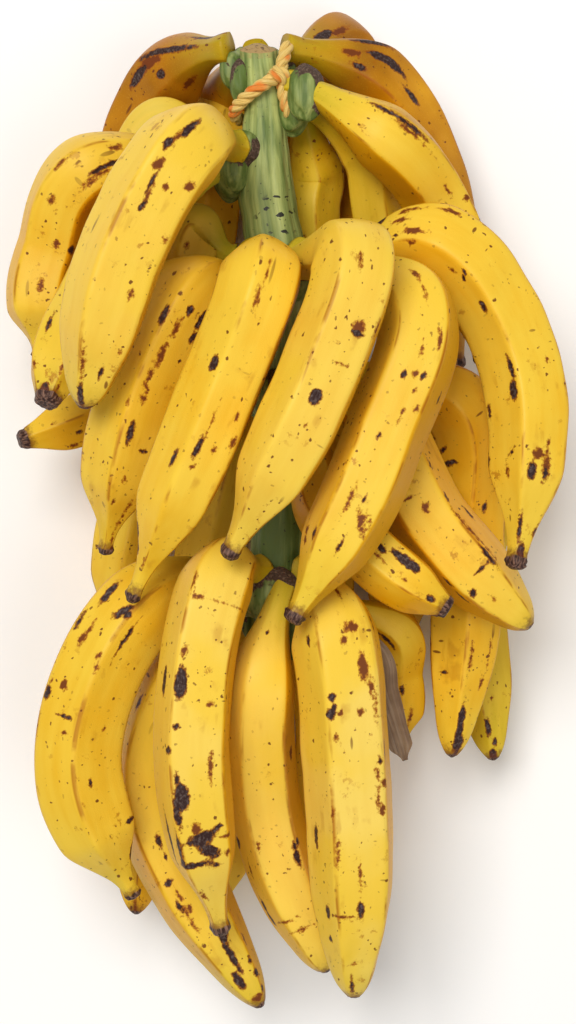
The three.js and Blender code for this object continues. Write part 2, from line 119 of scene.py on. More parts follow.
# Pixels of the photograph round which the stalk carries black dashes, and how far they spread
DASHES_AT = (280, 214)
DASHES_SPREAD = (26, 22)
FAINT_DASHES_AT = 110
FAINT_DASHES_SPREAD = 30


class Tip(Enum):
    """How the flower end of a finger is shaped."""

    ROUND = "round"  # a blunt dome with a small dark point
    DRIED = "dried"  # pinched, with a dried stub
    THIN = "thin"  # drawn out, with a small stub
    DISC = "disc"  # hardly pinched, with a broad dried disc


# How much the skin narrows before the stub, how much it flares there, and where the stub starts
TIP_SHAPES = {Tip.DRIED: (0.5, 0.3, 0.978), Tip.THIN: (0.64, 0.25, 0.984), Tip.DISC: (0.2, 0.1, 0.968)}


class Stain(Enum):
    """The two kinds of scar on the skin."""

    DARK = "dark"
    RUST = "rust"


@dataclass(frozen=True)
class Mark:
    """One scar, found by where it shows in the photograph.

    x and y are pixels, along and across are its half sizes in millimetres, and turn is its angle in
    degrees away from the finger's own run.
    """

    x: float
    y: float
    along: float
    across: float
    stain: Stain = Stain.DARK
    turn: float = 0.0


def dark(x: float, y: float, along: float, across: float, turn: float = 0.0) -> Mark:
    """Purple black scar."""
    return Mark(x, y, along, across, Stain.DARK, turn)


def rust(x: float, y: float, along: float, across: float, turn: float = 0.0) -> Mark:
    """Reddish brown scar."""
    return Mark(x, y, along, across, Stain.RUST, turn)


@dataclass(frozen=True)
class FingerPlan:
    """One finger: the angle at which it leaves the stalk, three points that it passes, and its girth.

    tone runs from pale lemon at -1 to deep orange at 1, and green is how unripe its neck and sides are.
    ridge is where a ridge shows from above, from 0 at its left edge to 1 at its right.
    """

    angle: float
    shoulder: Point
    belly: Point
    tip: Point
    girth: float
    end: Tip = Tip.DRIED
    tone: float = 0.0
    green: float = 0.1
    marks: tuple[Mark, ...] = ()
    in_view: bool = True
    ridge: float = 0.5


@dataclass(frozen=True)
class HandPlan:
    """One hand: its name, its height on the stalk and its fingers."""

    name: str
    height: float
    fingers: tuple[FingerPlan, ...]


HANDS = (
    HandPlan("upper_left", 230, (
        FingerPlan(140, (-55, 231, 76), (-96, 162, 92), (-124, 63, 84), 58, Tip.ROUND, -0.15, 0.1, (
            rust(205, 107, 9, 1.6), dark(190, 127, 4.5, 1.8), rust(178, 138, 5, 1.6),
            dark(166, 145, 2.6, 2), rust(157, 164, 4, 3), dark(152, 182, 6, 1), rust(148, 195, 8, 1.3),
            dark(143, 206, 3, 1.5), rust(191, 187, 3.5, 3), rust(164, 187, 1.8, 1.5),
            rust(131, 293, 3, 2.2), dark(100, 371, 2.6, 1), dark(81, 395, 6, 1.6), rust(84, 358, 10, 1.1),
            rust(165, 241, 3, 2), rust(120, 352, 2, 1), dark(100, 411, 4, 1.2, 60), rust(144, 336, 4, 1),
        ), ridge=0.34),
        FingerPlan(168, (-82, 196, 20), (-132, 126, 30), (-151, 67, 64), 48, Tip.DISC, -0.35, 0.25, (
            dark(68, 293, 3.2, 1.8), dark(69, 305, 1.6, 1.4), dark(71, 314, 1.5, 0.9), dark(49, 322, 5, 1),
            rust(64, 366, 4, 1.3), dark(44, 392, 5.5, 2.6), rust(57, 388, 3, 1.2), rust(35, 362, 2, 1),
        ), ridge=0.6),
        FingerPlan(196, (-113, 228, 10), (-154, 168, 5), (-163, 101, 2), 52, Tip.THIN, 0.05, 0.1, (
            dark(115, 163, 9, 1.3), rust(99, 174, 9, 1.2), rust(52, 201, 2.4, 2), dark(101, 209, 1.8, 1.4),
            rust(56, 245, 3, 2.4), dark(71, 251, 3, 2.2), rust(60, 162, 4, 1.6), rust(115, 147, 3.5, 2.4),
            rust(40, 286, 5, 2), rust(90, 182, 5, 1),
        ), ridge=0.78),
        FingerPlan(
            224, (-72, 257, -34), (-106, 208, -48), (-126, 123, -54), 47, Tip.DRIED, -0.5, 0.3, ridge=0.4,
        ),
    )),
    HandPlan("upper_right", 272, (
        FingerPlan(-30, (16, 242, -34), (14, 200, -56), (22, 106, -66), 42, Tip.DRIED, 0.35, 0.45, ridge=0.6),
        FingerPlan(-3, (38, 252, -18), (54, 204, -44), (68, 108, -58), 44, Tip.DRIED, 0.3, 0.35, ridge=0.6),
        FingerPlan(25, (46, 251, 10), (97, 198, -8), (125, 92, -22), 48, Tip.DRIED, 0.1, 0.15, (
            dark(348, 82, 6, 4.5), dark(357, 80, 4, 2), dark(402, 118, 10, 1), rust(447, 190, 5, 1.2),
            rust(467, 198, 3, 1.6), rust(412, 134, 8, 0.9), dark(480, 219, 1, 0.8), rust(385, 91, 2, 1.5),
        ), ridge=0.3),
    )),
    HandPlan("upper_back", 298, (
        FingerPlan(195, (-49, 295, -50), (-76, 240, -78), (-90, 140, -88), 54, Tip.DRIED, 1.6, 0.0, (
            dark(160, 75, 4, 3), rust(190, 82, 9, 3), dark(165, 50, 20, 2), dark(208, 38, 14, 1.4),
            dark(137, 76, 10, 3), rust(150, 62, 12, 4),
        ), ridge=0.5),
        FingerPlan(228, (-44, 289, -80), (-57, 232, -95), (-62, 138, -95), 50, tone=0.6, in_view=False),
        FingerPlan(265, (-6, 290, -85), (-9, 225, -95), (-20, 127, -95), 50, tone=0.4, in_view=False),
        FingerPlan(302, (21, 318, -78), (41, 247, -95), (56, 140, -95), 48, Tip.DRIED, 1.5, 0.0, (
            dark(322, 38, 9, 4), dark(322, 55, 5, 2), rust(338, 32, 10, 3), dark(330, 64, 6, 3),
        )),
        FingerPlan(338, (36, 297, -56), (86, 228, -78), (117, 98, -72), 52, Tip.DRIED, 1.5, 0.0, (
            dark(389, 60, 14, 3), dark(370, 42, 10, 2), rust(352, 52, 6, 3), dark(358, 66, 5, 2),
            rust(400, 70, 6, 2), dark(412, 95, 8, 2),
        ), ridge=0.5),
    )),
    HandPlan("middle_front", 160, (
        FingerPlan(184, (-50, 181, 6), (-77, 121, -14), (-91, 41, -12), 48, Tip.DRIED, -0.1, 0.25, (
            dark(195, 257, 4, 2.4), rust(187, 245, 2.6, 2), rust(214, 248, 2.4, 1.6),
        ), ridge=0.45),
        FingerPlan(154, (-57, 144, 34), (-95, 74, 40), (-112, -33, 35), 56, Tip.THIN, 0.1, 0.15, (
            dark(164, 314, 4.4, 1.8), dark(190, 311, 2.4, 2), dark(201, 321, 5.5, 1.9),
            dark(193, 338, 3.6, 2), rust(176, 330, 6, 1.8), rust(163, 352, 9, 2), rust(150, 378, 10, 1.3),
            rust(143, 398, 6, 1), dark(132, 433, 7, 1.7), dark(144, 451, 1, 2.2), rust(125, 480, 2, 2),
            dark(117, 563, 5, 3), dark(224, 259, 4, 2.4), dark(181, 360, 1, 1), rust(112, 502, 2, 1.3),
            rust(128, 402, 3, 1.2), rust(157, 444, 3, 1.2), rust(120, 520, 14, 0.8),
        ), ridge=0.45),
        FingerPlan(122, (-4, 151, 79), (-37, 74, 95), (-98, -56, 75), 55, Tip.THIN, 0.1, 0.1, (
            dark(213, 365, 4.6, 2.7), rust(257, 296, 4, 2), dark(172, 460, 4.4, 1.6),
            dark(197, 447, 5.5, 1.4), dark(243, 430, 2.4, 2.2), rust(253, 411, 7, 1.6),
            rust(269, 374, 12, 1.5), rust(215, 450, 2.4, 2), dark(135, 536, 7, 0.8), rust(236, 418, 3, 1.5),
            rust(268, 273, 5, 1), rust(233, 442, 4, 1), dark(222, 500, 2.5, 1.2), rust(236, 470, 5, 1.2),
            rust(193, 466, 2.5, 2), rust(210, 425, 8, 0.6), dark(139, 611, 2, 5), rust(145, 560, 2.4, 1),
        ), ridge=0.42),
        FingerPlan(90, (28, 152, 92), (17, 84, 110), (-38, -29, 92), 56, Tip.DRIED, -0.2, 0.1, (
            rust(359, 328, 4.6, 4), dark(357, 334, 1.8, 3.4), rust(376, 330, 5, 1.8),
            rust(372, 353, 5, 1.8), dark(315, 397, 4.2, 3.6), rust(343, 364, 1.4, 4),
            rust(306, 426, 1.3, 1.3), rust(361, 259, 3, 1.6), dark(372, 379, 2.4, 1.6),
            rust(367, 392, 2, 1.5), dark(301, 285, 9, 1.2), dark(222, 566, 2, 6),
        ), ridge=0.87),
        FingerPlan(58, (70, 148, 66), (58, 41, 85), (3, -70, 85), 54, Tip.DRIED, -0.05, 0.15, (
            rust(417, 276, 3.5, 2), rust(424, 289, 6, 0.9), rust(423, 346, 4, 0.9), dark(403, 374, 2, 1.5),
            rust(414, 375, 2.6, 2), dark(423, 378, 2, 1.2), rust(416, 390, 1.8, 1.4),
            rust(417, 409, 3, 1.6), rust(402, 412, 4, 1), rust(361, 526, 9, 2.2, -35),
            rust(368, 520, 4, 1.2, -35), rust(307, 529, 3, 2), dark(315, 530, 3, 1.4),
            rust(304, 543, 2.4, 2.4), dark(378, 436, 1.6, 0.9), dark(364, 498, 1.6, 0.8),
            dark(437, 400, 2.6, 1), rust(350, 500, 8, 1.4), rust(440, 340, 5, 1), dark(338, 548, 3, 0.6),
        ), ridge=0.2),
        FingerPlan(26, (76, 169, 42), (147, 91, 35), (134, -41, 30), 56, Tip.DRIED, 0.05, 0.1, (
            dark(367, 214, 7, 5), dark(372, 226, 7, 4), rust(412, 210, 5.5, 1.8), rust(399, 220, 4, 1.6),
            rust(412, 230, 7, 2), rust(411, 244, 2.6, 2.2), dark(395, 236, 1.2, 1), rust(452, 212, 4, 1.5),
            dark(483, 304, 3.6, 1.6), dark(464, 279, 1.2, 1), dark(466, 272, 1.4, 0.8),
            rust(452, 271, 3, 0.7), dark(511, 367, 7, 1.2), dark(515, 392, 6, 2.8),
            dark(512, 452, 3, 0.8, 50), dark(532, 470, 5.5, 2.5), rust(546, 468, 8, 3),
            dark(544, 474, 4, 2), rust(540, 452, 4, 4), dark(520, 526, 6, 1), dark(535, 530, 2.6, 1),
            rust(546, 360, 3, 1.5), dark(520, 551, 5, 2), dark(484, 414, 4, 1.2), rust(548, 440, 4, 1.4),
            rust(506, 470, 3, 1.5),
        ), ridge=0.38),
    )),
    HandPlan("middle_back", 85, (
        FingerPlan(60, (17, 21, 30), (52, -30, 45), (103, -60, 55), 42, Tip.DISC, 0.2, 0.1, (
            dark(405, 562, 9, 2.6), dark(381, 549, 3.4, 1.5), dark(416, 566, 4, 2.4),
            dark(432, 600, 2, 1.6), rust(378, 556, 6, 1), dark(438, 618, 3, 1), rust(405, 580, 2, 1),
        ), ridge=0.35),
        FingerPlan(27, (48, 70, 10), (101, -5, 25), (160, -72, 30), 54, Tip.ROUND, -0.05, 0.05, (
            dark(472, 594, 2.2, 1.6, 60), dark(447, 581, 2.6, 1.3), dark(482, 570, 0.7, 3),
            dark(430, 464, 2.4, 1.2), rust(424, 508, 3.4, 2.6), dark(447, 497, 3, 1),
            dark(468, 512, 3.4, 0.8), rust(460, 520, 9, 0.7), rust(408, 499, 0.8, 4),
            dark(488, 555, 6, 1.2), rust(478, 538, 12, 1), dark(462, 597, 3, 1), rust(495, 600, 2, 1),
        ), ridge=0.75),
        FingerPlan(0, (99, 84, -30), (114, -20, -30), (107, -164, -20), 52, Tip.ROUND, 0.45, 0.05, (
            dark(444, 448, 3.4, 1.3, 40), dark(442, 466, 1.5, 5.5), dark(453, 460, 1.2, 3),
            rust(434, 438, 3, 2.6), dark(460, 728, 15, 2.2), dark(458, 748, 6, 1.6), rust(471, 655, 6, 1),
            rust(489, 650, 6, 1), dark(444, 671, 0.7, 1.6), rust(481, 680, 3, 1), rust(420, 640, 8, 1.2),
            dark(485, 505, 3.4, 1.8),
        ), ridge=0.5),
        FingerPlan(-28, (103, 50, -75), (121, -54, -75), (141, -170, -62), 49, Tip.ROUND, 0.15, 0.35, (
            dark(487, 727, 4.4, 1.5), dark(495, 742, 2, 1.6), rust(491, 696, 2, 1.6),
            dark(493, 755, 3, 2.4),
        ), ridge=0.4),
        FingerPlan(-56, (60, 77, -75), (78, -6, -94), (82, -105, -94), 52, tone=0.5, in_view=False),
        FingerPlan(-84, (15, 78, -85), (22, -6, -94), (29, -117, -94), 52, tone=0.3, in_view=False),
        FingerPlan(-112, (-30, 78, -85), (-51, -6, -94), (-68, -110, -94), 52, tone=0.1, in_view=False),
        FingerPlan(-140, (-67, 77, -70), (-103, 8, -90), (-124, -89, -90), 52, tone=0.2, in_view=False),
        FingerPlan(170, (-49, 115, -30), (-106, 68, -30), (-180, 48, -20), 40, Tip.DISC, 0.25, 0.1, (
            dark(80, 432, 1.6, 1.2), dark(95, 445, 4, 1), rust(72, 446, 3, 1), rust(52, 425, 2, 0.8),
        )),
    )),
    HandPlan("lower_front", -44, (
        FingerPlan(180, (-84, -52, 32), (-133, -150, 34), (-97, -248, 20), 59, Tip.THIN, 0.15, 0.15, (
            dark(108, 594, 6, 2.6), dark(124, 610, 5, 2.2, 30), dark(128, 617, 2, 2),
            dark(78, 625, 3.4, 0.9), rust(80, 640, 3, 2.6), rust(98, 656, 2.4, 2), rust(94, 668, 3, 1.4),
            rust(64, 686, 3.6, 3), dark(48, 692, 3.4, 1.8), dark(47, 706, 1.6, 1.2), dark(64, 716, 0.7, 4),
            rust(104, 728, 2, 1.8), dark(122, 643, 8, 0.8), dark(90, 783, 1.8, 0.9), rust(88, 630, 6, 1.2),
            rust(52, 681, 2, 1.2), dark(140, 894, 2, 5), dark(130, 819, 1.4, 3), rust(63, 732, 2, 2.4),
            dark(137, 852, 4, 1),
        ), ridge=0.5),
        FingerPlan(150, (-67, -89, 5), (-90, -192, -6), (-17, -324, 2), 57, Tip.ROUND, 0.0, 0.2, (
            dark(140, 701, 3.6, 1.2), dark(138, 681, 4, 1.4), dark(158, 841, 4, 1.4),
            dark(168, 882, 2.4, 3.2), rust(177, 893, 6, 1), dark(177, 905, 4, 1.2), rust(188, 906, 3, 2),
            rust(191, 922, 6, 1.4), dark(230, 955, 10, 1.5), dark(239, 982, 6, 2.4), dark(222, 934, 4, 3),
            dark(256, 972, 2.4, 1.6), dark(242, 937, 2.4, 1.1), rust(256, 998, 2, 4), dark(164, 856, 2, 1),
            rust(186, 915, 5, 1), dark(250, 959, 1.4, 1), dark(262, 987, 1.4, 1),
        ), ridge=0.25),
        FingerPlan(120, (-38, -35, 54), (-55, -142, 65), (-42, -267, 50), 53, Tip.DRIED, -0.3, 0.1, (
            dark(165, 678, 7, 2.6), dark(182, 682, 8, 3.2), rust(184, 652, 3.4, 1.6),
            rust(198, 595, 1.8, 3.4), rust(193, 584, 4, 1.3), rust(209, 706, 2.4, 2.2),
            dark(175, 725, 1.6, 2.2), rust(211, 764, 8, 1.4), dark(168, 751, 2, 2.6), dark(182, 795, 7, 4),
            dark(178, 812, 9, 1.8), dark(180, 850, 9, 1.6), dark(204, 832, 2, 7), dark(198, 844, 1.6, 8),
            dark(210, 852, 3, 7, 25), dark(192, 864, 1.6, 8), rust(226, 833, 1.6, 3.4),
            dark(216, 865, 1, 2.4), rust(237, 712, 3, 0.8), rust(228, 850, 2.4, 1.6),
            rust(225, 603, 0.6, 9), dark(228, 937, 4, 3), dark(170, 838, 12, 1.4), rust(205, 900, 3, 0.8),
            dark(177, 778, 3, 1), rust(196, 828, 5, 3), dark(220, 826, 1, 2.2),
        ), ridge=0.26),
        FingerPlan(84, (-9, -83, 6), (-10, -199, 4), (27, -299, 8), 49, Tip.ROUND, -0.25, 0.1, (
            dark(293, 846, 2.6, 1), dark(297, 856, 5, 1.4), dark(264, 909, 5, 1.2),
            dark(271, 921, 3.6, 1.2), rust(300, 928, 1.2, 6), dark(267, 633, 1, 1), rust(250, 870, 4, 0.7),
            dark(298, 842, 2, 1.2), rust(285, 922, 1, 7), rust(258, 850, 2.6, 0.8),
        ), ridge=0.8),
        FingerPlan(48, (24, -60, 52), (37, -178, 55), (42, -309, 40), 60, Tip.ROUND, -0.45, 0.1, (
            dark(309, 644, 2.6, 1.4), dark(332, 697, 1.6, 2), dark(332, 706, 1.8, 1.3),
            dark(330, 716, 3, 2.6), rust(340, 716, 2.2, 1.6), rust(335, 738, 2.4, 1.3),
            rust(364, 668, 8, 3), rust(371, 684, 6, 2), dark(385, 748, 4.6, 0.9), dark(382, 763, 1.8, 1),
            rust(379, 775, 5, 1.3), rust(384, 784, 3, 2.4), rust(350, 625, 2.6, 5), rust(361, 712, 2.4, 2),
            rust(338, 592, 5, 1), dark(316, 835, 6, 1.6), rust(334, 815, 3.4, 1.4), rust(339, 852, 8, 1),
            dark(327, 913, 3.6, 2), rust(340, 920, 1.2, 6), dark(361, 911, 4.4, 1.8), rust(384, 810, 4, 2),
            rust(361, 880, 7, 0.8), rust(352, 966, 0.7, 3), dark(352, 985, 4, 1), rust(371, 620, 5, 1.2),
            rust(345, 640, 3, 2), rust(376, 705, 7, 1), rust(380, 800, 6, 1.2), dark(330, 941, 2, 2),
        ), ridge=0.3),
    )),
    HandPlan("lower_back", -66, (
        FingerPlan(5, (64, -71, -10), (71, -112, -20), (75, -155, -25), 34, Tip.DRIED, 0.45, 0.2, (
            dark(402, 690, 3, 1.2), rust(410, 718, 6, 1.5), dark(387, 640, 7, 1.2),
        )),
        FingerPlan(-30, (38, -98, -15), (41, -184, -15), (31, -277, -15), 48, tone=0.3, in_view=False),
        FingerPlan(-70, (22, -102, -70), (29, -194, -96), (26, -289, -80), 50, tone=0.2, in_view=False),
        FingerPlan(-108, (-33, -102, -70), (-42, -194, -96), (-51, -283, -80), 50, tone=0.1, in_view=False),
        FingerPlan(-146, (-73, -87, -50), (-95, -178, -72), (-103, -272, -45), 48, Tip.ROUND, 0.4, 0.0, (
            rust(135, 905, 5, 1.5),
        )),
    )),
)
BRACT_PLAN = FingerPlan(30, (48, -84, 22), (62, -118, 24), (76, -161, 14), 20)
BRACT_HEIGHT = -66.0


@dataclass(frozen=True)
class Growth:
    """An uneven oval growth on the stalk, such as the stump of a removed hand.

    rim is the distance from its middle, seen from the front, at which its cork starts, cork_way is the side
    on which the cork lies, and cut is how tan its middle is.
    """

    centre: Point
    half_size: Point
    rim: float
    cork_way: Point
    cut: float = 0.0


GROWTHS = (
    Growth((-31.0, 281.0, 6.0), (6.75, 15.0, 8.1), 0.6, (0.0, 1.0, 0.0)),
    Growth((11.5, 271.0, 19.0), (11.5, 19.0, 9.0), 0.5, (0.75, 0.65, 0.0)),
    Growth((-30.0, 236.0, 12.0), (13.5, 12.5, 10.0), 0.42, (0.5, -0.85, 0.0), 0.9),
)


@dataclass(frozen=True)
class Lamp:
    """A soft lamp: where it hangs and its side, both in metres, its strength in watts and its colour."""

    name: str
    place: Point
    size: float
    power: float
    tint: Colour


LAMPS = (
    Lamp("key_lamp", (-0.7, 1.0, 3.2), 1.5, 82, (1.0, 0.97, 0.92)),
    Lamp("fill_lamp", (1.2, -0.9, 3.0), 1.8, 21, (1.0, 0.98, 0.95)),
)
LAMPS_FACE = (0.0, 0.0, 0.12)


# Numbers on arrays


def smoothstep(value: Array, low: float, high: float) -> Array:
    """Smooth rise from 0 at low to 1 at high."""
    share = np.clip((value - low) / (high - low), 0, 1)
    return share * share * (3 - 2 * share)


def unit(vectors: Array) -> Array:
    """The vectors scaled to length one."""
    return vectors / np.maximum(np.linalg.norm(vectors, axis=-1, keepdims=True), 1e-12)


def outward(degrees: Array | float) -> Array:
    """Direction out of the stalk at an angle round it, from +X over +Z."""
    angle = np.radians(degrees)
    return np.stack([np.cos(angle), np.zeros_like(angle), np.sin(angle)], -1)


def turns(count: int) -> Array:
    """Even angles round a circle, in radians."""
    return np.arange(count) * 2 * np.pi / count


def wrapped(angle: Array) -> Array:
    """Angles in radians brought to within half a turn of 0."""
    return (angle + np.pi) % (2 * np.pi) - np.pi


def bell(away: Array, width: float) -> Array:
    """Smooth bump that is 1 where away is 0 and has mostly faded where it is the width."""
    return np.exp(-((away / width) ** 2))


def spokes(angle: Array, across: Array, side: Array) -> Array:
    """Directions across a line at angles from its first direction to its second, at each place."""
    return np.cos(angle)[:, None] * across[:, None] + np.sin(angle)[:, None] * side[:, None]


def straightened(x: Array, y: Array, run: Array) -> Array:
    """Places in metres on a piece as if it were straight: two distances across it, and each row's run."""
    return np.stack(np.broadcast_arrays(x, y, run[:, None]), -1) / 1000


def ripple(points: Array, wavelength: float, seed: int, waves: int = 9) -> Array:
    """Smooth bumps between about -1 and 1: the sum of waves of mixed lengths in seeded directions.

    Args:
        points: places in millimetres, last axis 3.
        wavelength: typical distance from crest to crest.
        seed: picks directions and phases.
        waves: how many waves are added.

    Returns:
        One number for each place.
    """
    rng = np.random.default_rng(seed)
    ways = unit(rng.normal(size=(waves, 3)))
    ways *= 2 * np.pi / (wavelength * rng.uniform(0.6, 1.7, (waves, 1)))
    phases = rng.uniform(0, 2 * np.pi, waves)
    return np.sin(points @ ways.T + phases).sum(-1) / math.sqrt(waves)


def stalk_at(height: Array | float) -> tuple[Array, Array]:
    """Middle and radius of the stalk at heights along Y, straight between the rings.

    Args:
        height: one or more heights in millimetres.

    Returns:
        The middle points and the radii.
    """
    rings = np.array(STALK, float)[::-1]
    tall = np.asarray(height, float)
    x = np.interp(tall, rings[:, 1], rings[:, 0])
    z = np.interp(tall, rings[:, 1], rings[:, 2])
    radius = np.interp(tall, rings[:, 1], rings[:, 3])
    return np.stack([x, tall, z], -1), radius


def fullness(place: Array) -> Array:
    """Share of the girth at a share of the length: neck, swelling, body and taper."""
    swell = NECK_SHARE + (1 - NECK_SHARE) * smoothstep(place, NECK_END, BODY_START)
    past = np.maximum(0, (place - TAPER_START) / (1 - TAPER_START))
    return np.minimum(swell, 1 - (1 - TIP_SHARE) * past**TAPER_POWER)


def curve_weights(place: Array) -> Array:
    """Weights of root, shoulder, belly, tip and outward direction in a finger's middle line.

    The line is a smooth cubic between the four points at fixed shares of the length. It leaves the root
    along the outward direction.

    Args:
        place: shares of the length.

    Returns:
        One row of five weights for each place.
    """
    slopes = np.zeros((4, 5))
    slopes[0, 4] = OUTWARD_PULL
    for at in (1, 2):
        before, after = PASSES[at] - PASSES[at - 1], PASSES[at + 1] - PASSES[at]
        share = after / (before + after)
        slopes[at, at - 1] -= share / before
        slopes[at, at] += share / before - (1 - share) / after
        slopes[at, at + 1] += (1 - share) / after
    last = PASSES[3] - PASSES[2]
    slopes[3] = -0.5 * slopes[2]
    slopes[3, 3] += 1.5 / last
    slopes[3, 2] -= 1.5 / last
    where = np.clip(np.searchsorted(PASSES, place, side="right") - 1, 0, 2)
    passes = np.array(PASSES)
    span = passes[where + 1] - passes[where]
    u = (place - passes[where]) / span
    corner = np.eye(5)[:4]
    return (
        (2 * u**3 - 3 * u**2 + 1)[:, None] * corner[where]
        + (3 * u**2 - 2 * u**3)[:, None] * corner[where + 1]
        + ((u**3 - 2 * u**2 + u) * span)[:, None] * slopes[where]
        + ((u**3 - u**2) * span)[:, None] * slopes[where + 1]
    )


def frames_along(points: Array, start: int, facing: Array) -> tuple[Array, Array]:
    """Directions across a line, carried both ways from one place on it without twist.

    Args:
        points: places along the line.
        start: index from which the directions are carried.
        facing: the first direction at that index, before it is squared to the line.

    Returns:
        The first and the second direction across at each place.
    """
    ahead = np.concatenate([points[1:], points[-1:]])
    behind = np.concatenate([points[:1], points[:-1]])
    tangents = unit(ahead - behind)
    across = np.zeros_like(points)
    across[start] = unit(facing - (facing @ tangents[start]) * tangents[start])
    for step, stop in ((1, len(points)), (-1, -1)):
        for k in range(start + step, stop, step):
            carried = across[k - step]
            across[k] = unit(carried - (carried @ tangents[k]) * tangents[k])
    return across, np.cross(tangents, across)


def frames_out(points: Array, start: int) -> tuple[Array, Array]:
    """Directions across a line, of which the first faces away from the stalk at the start index."""
    return frames_along(points, start, points[start] - stalk_at(points[start, 1])[0])


def run_lengths(points: Array) -> Array:
    """Distance along a line from its first point to each of its points."""
    steps = np.linalg.norm(np.diff(points, axis=0), axis=1)
    return np.concatenate([[0.0], np.cumsum(steps)])


def spline(points: Array, count: int) -> Array:
    """Catmull-Rom curve through points, sampled evenly along its run.

    Args:
        points: places that it passes.
        count: how many samples.

    Returns:
        The samples.
    """
    ends = np.concatenate([[2 * points[0] - points[1]], points, [2 * points[-1] - points[-2]]])
    t = np.linspace(0, len(points) - 1 - 1e-9, 24 * len(points))
    k = t.astype(int)
    u = (t - k)[:, None]
    a, b, c, d = ends[k], ends[k + 1], ends[k + 2], ends[k + 3]
    square, cube = 2 * a - 5 * b + 4 * c - d, 3 * b - a - 3 * c + d
    fine = 0.5 * (2 * b + (c - a) * u + square * u**2 + cube * u**3)
    run = run_lengths(fine)
    even = np.linspace(0, run[-1], count)
    return np.stack([np.interp(even, run, fine[:, axis]) for axis in range(3)], -1)


# Where everything goes


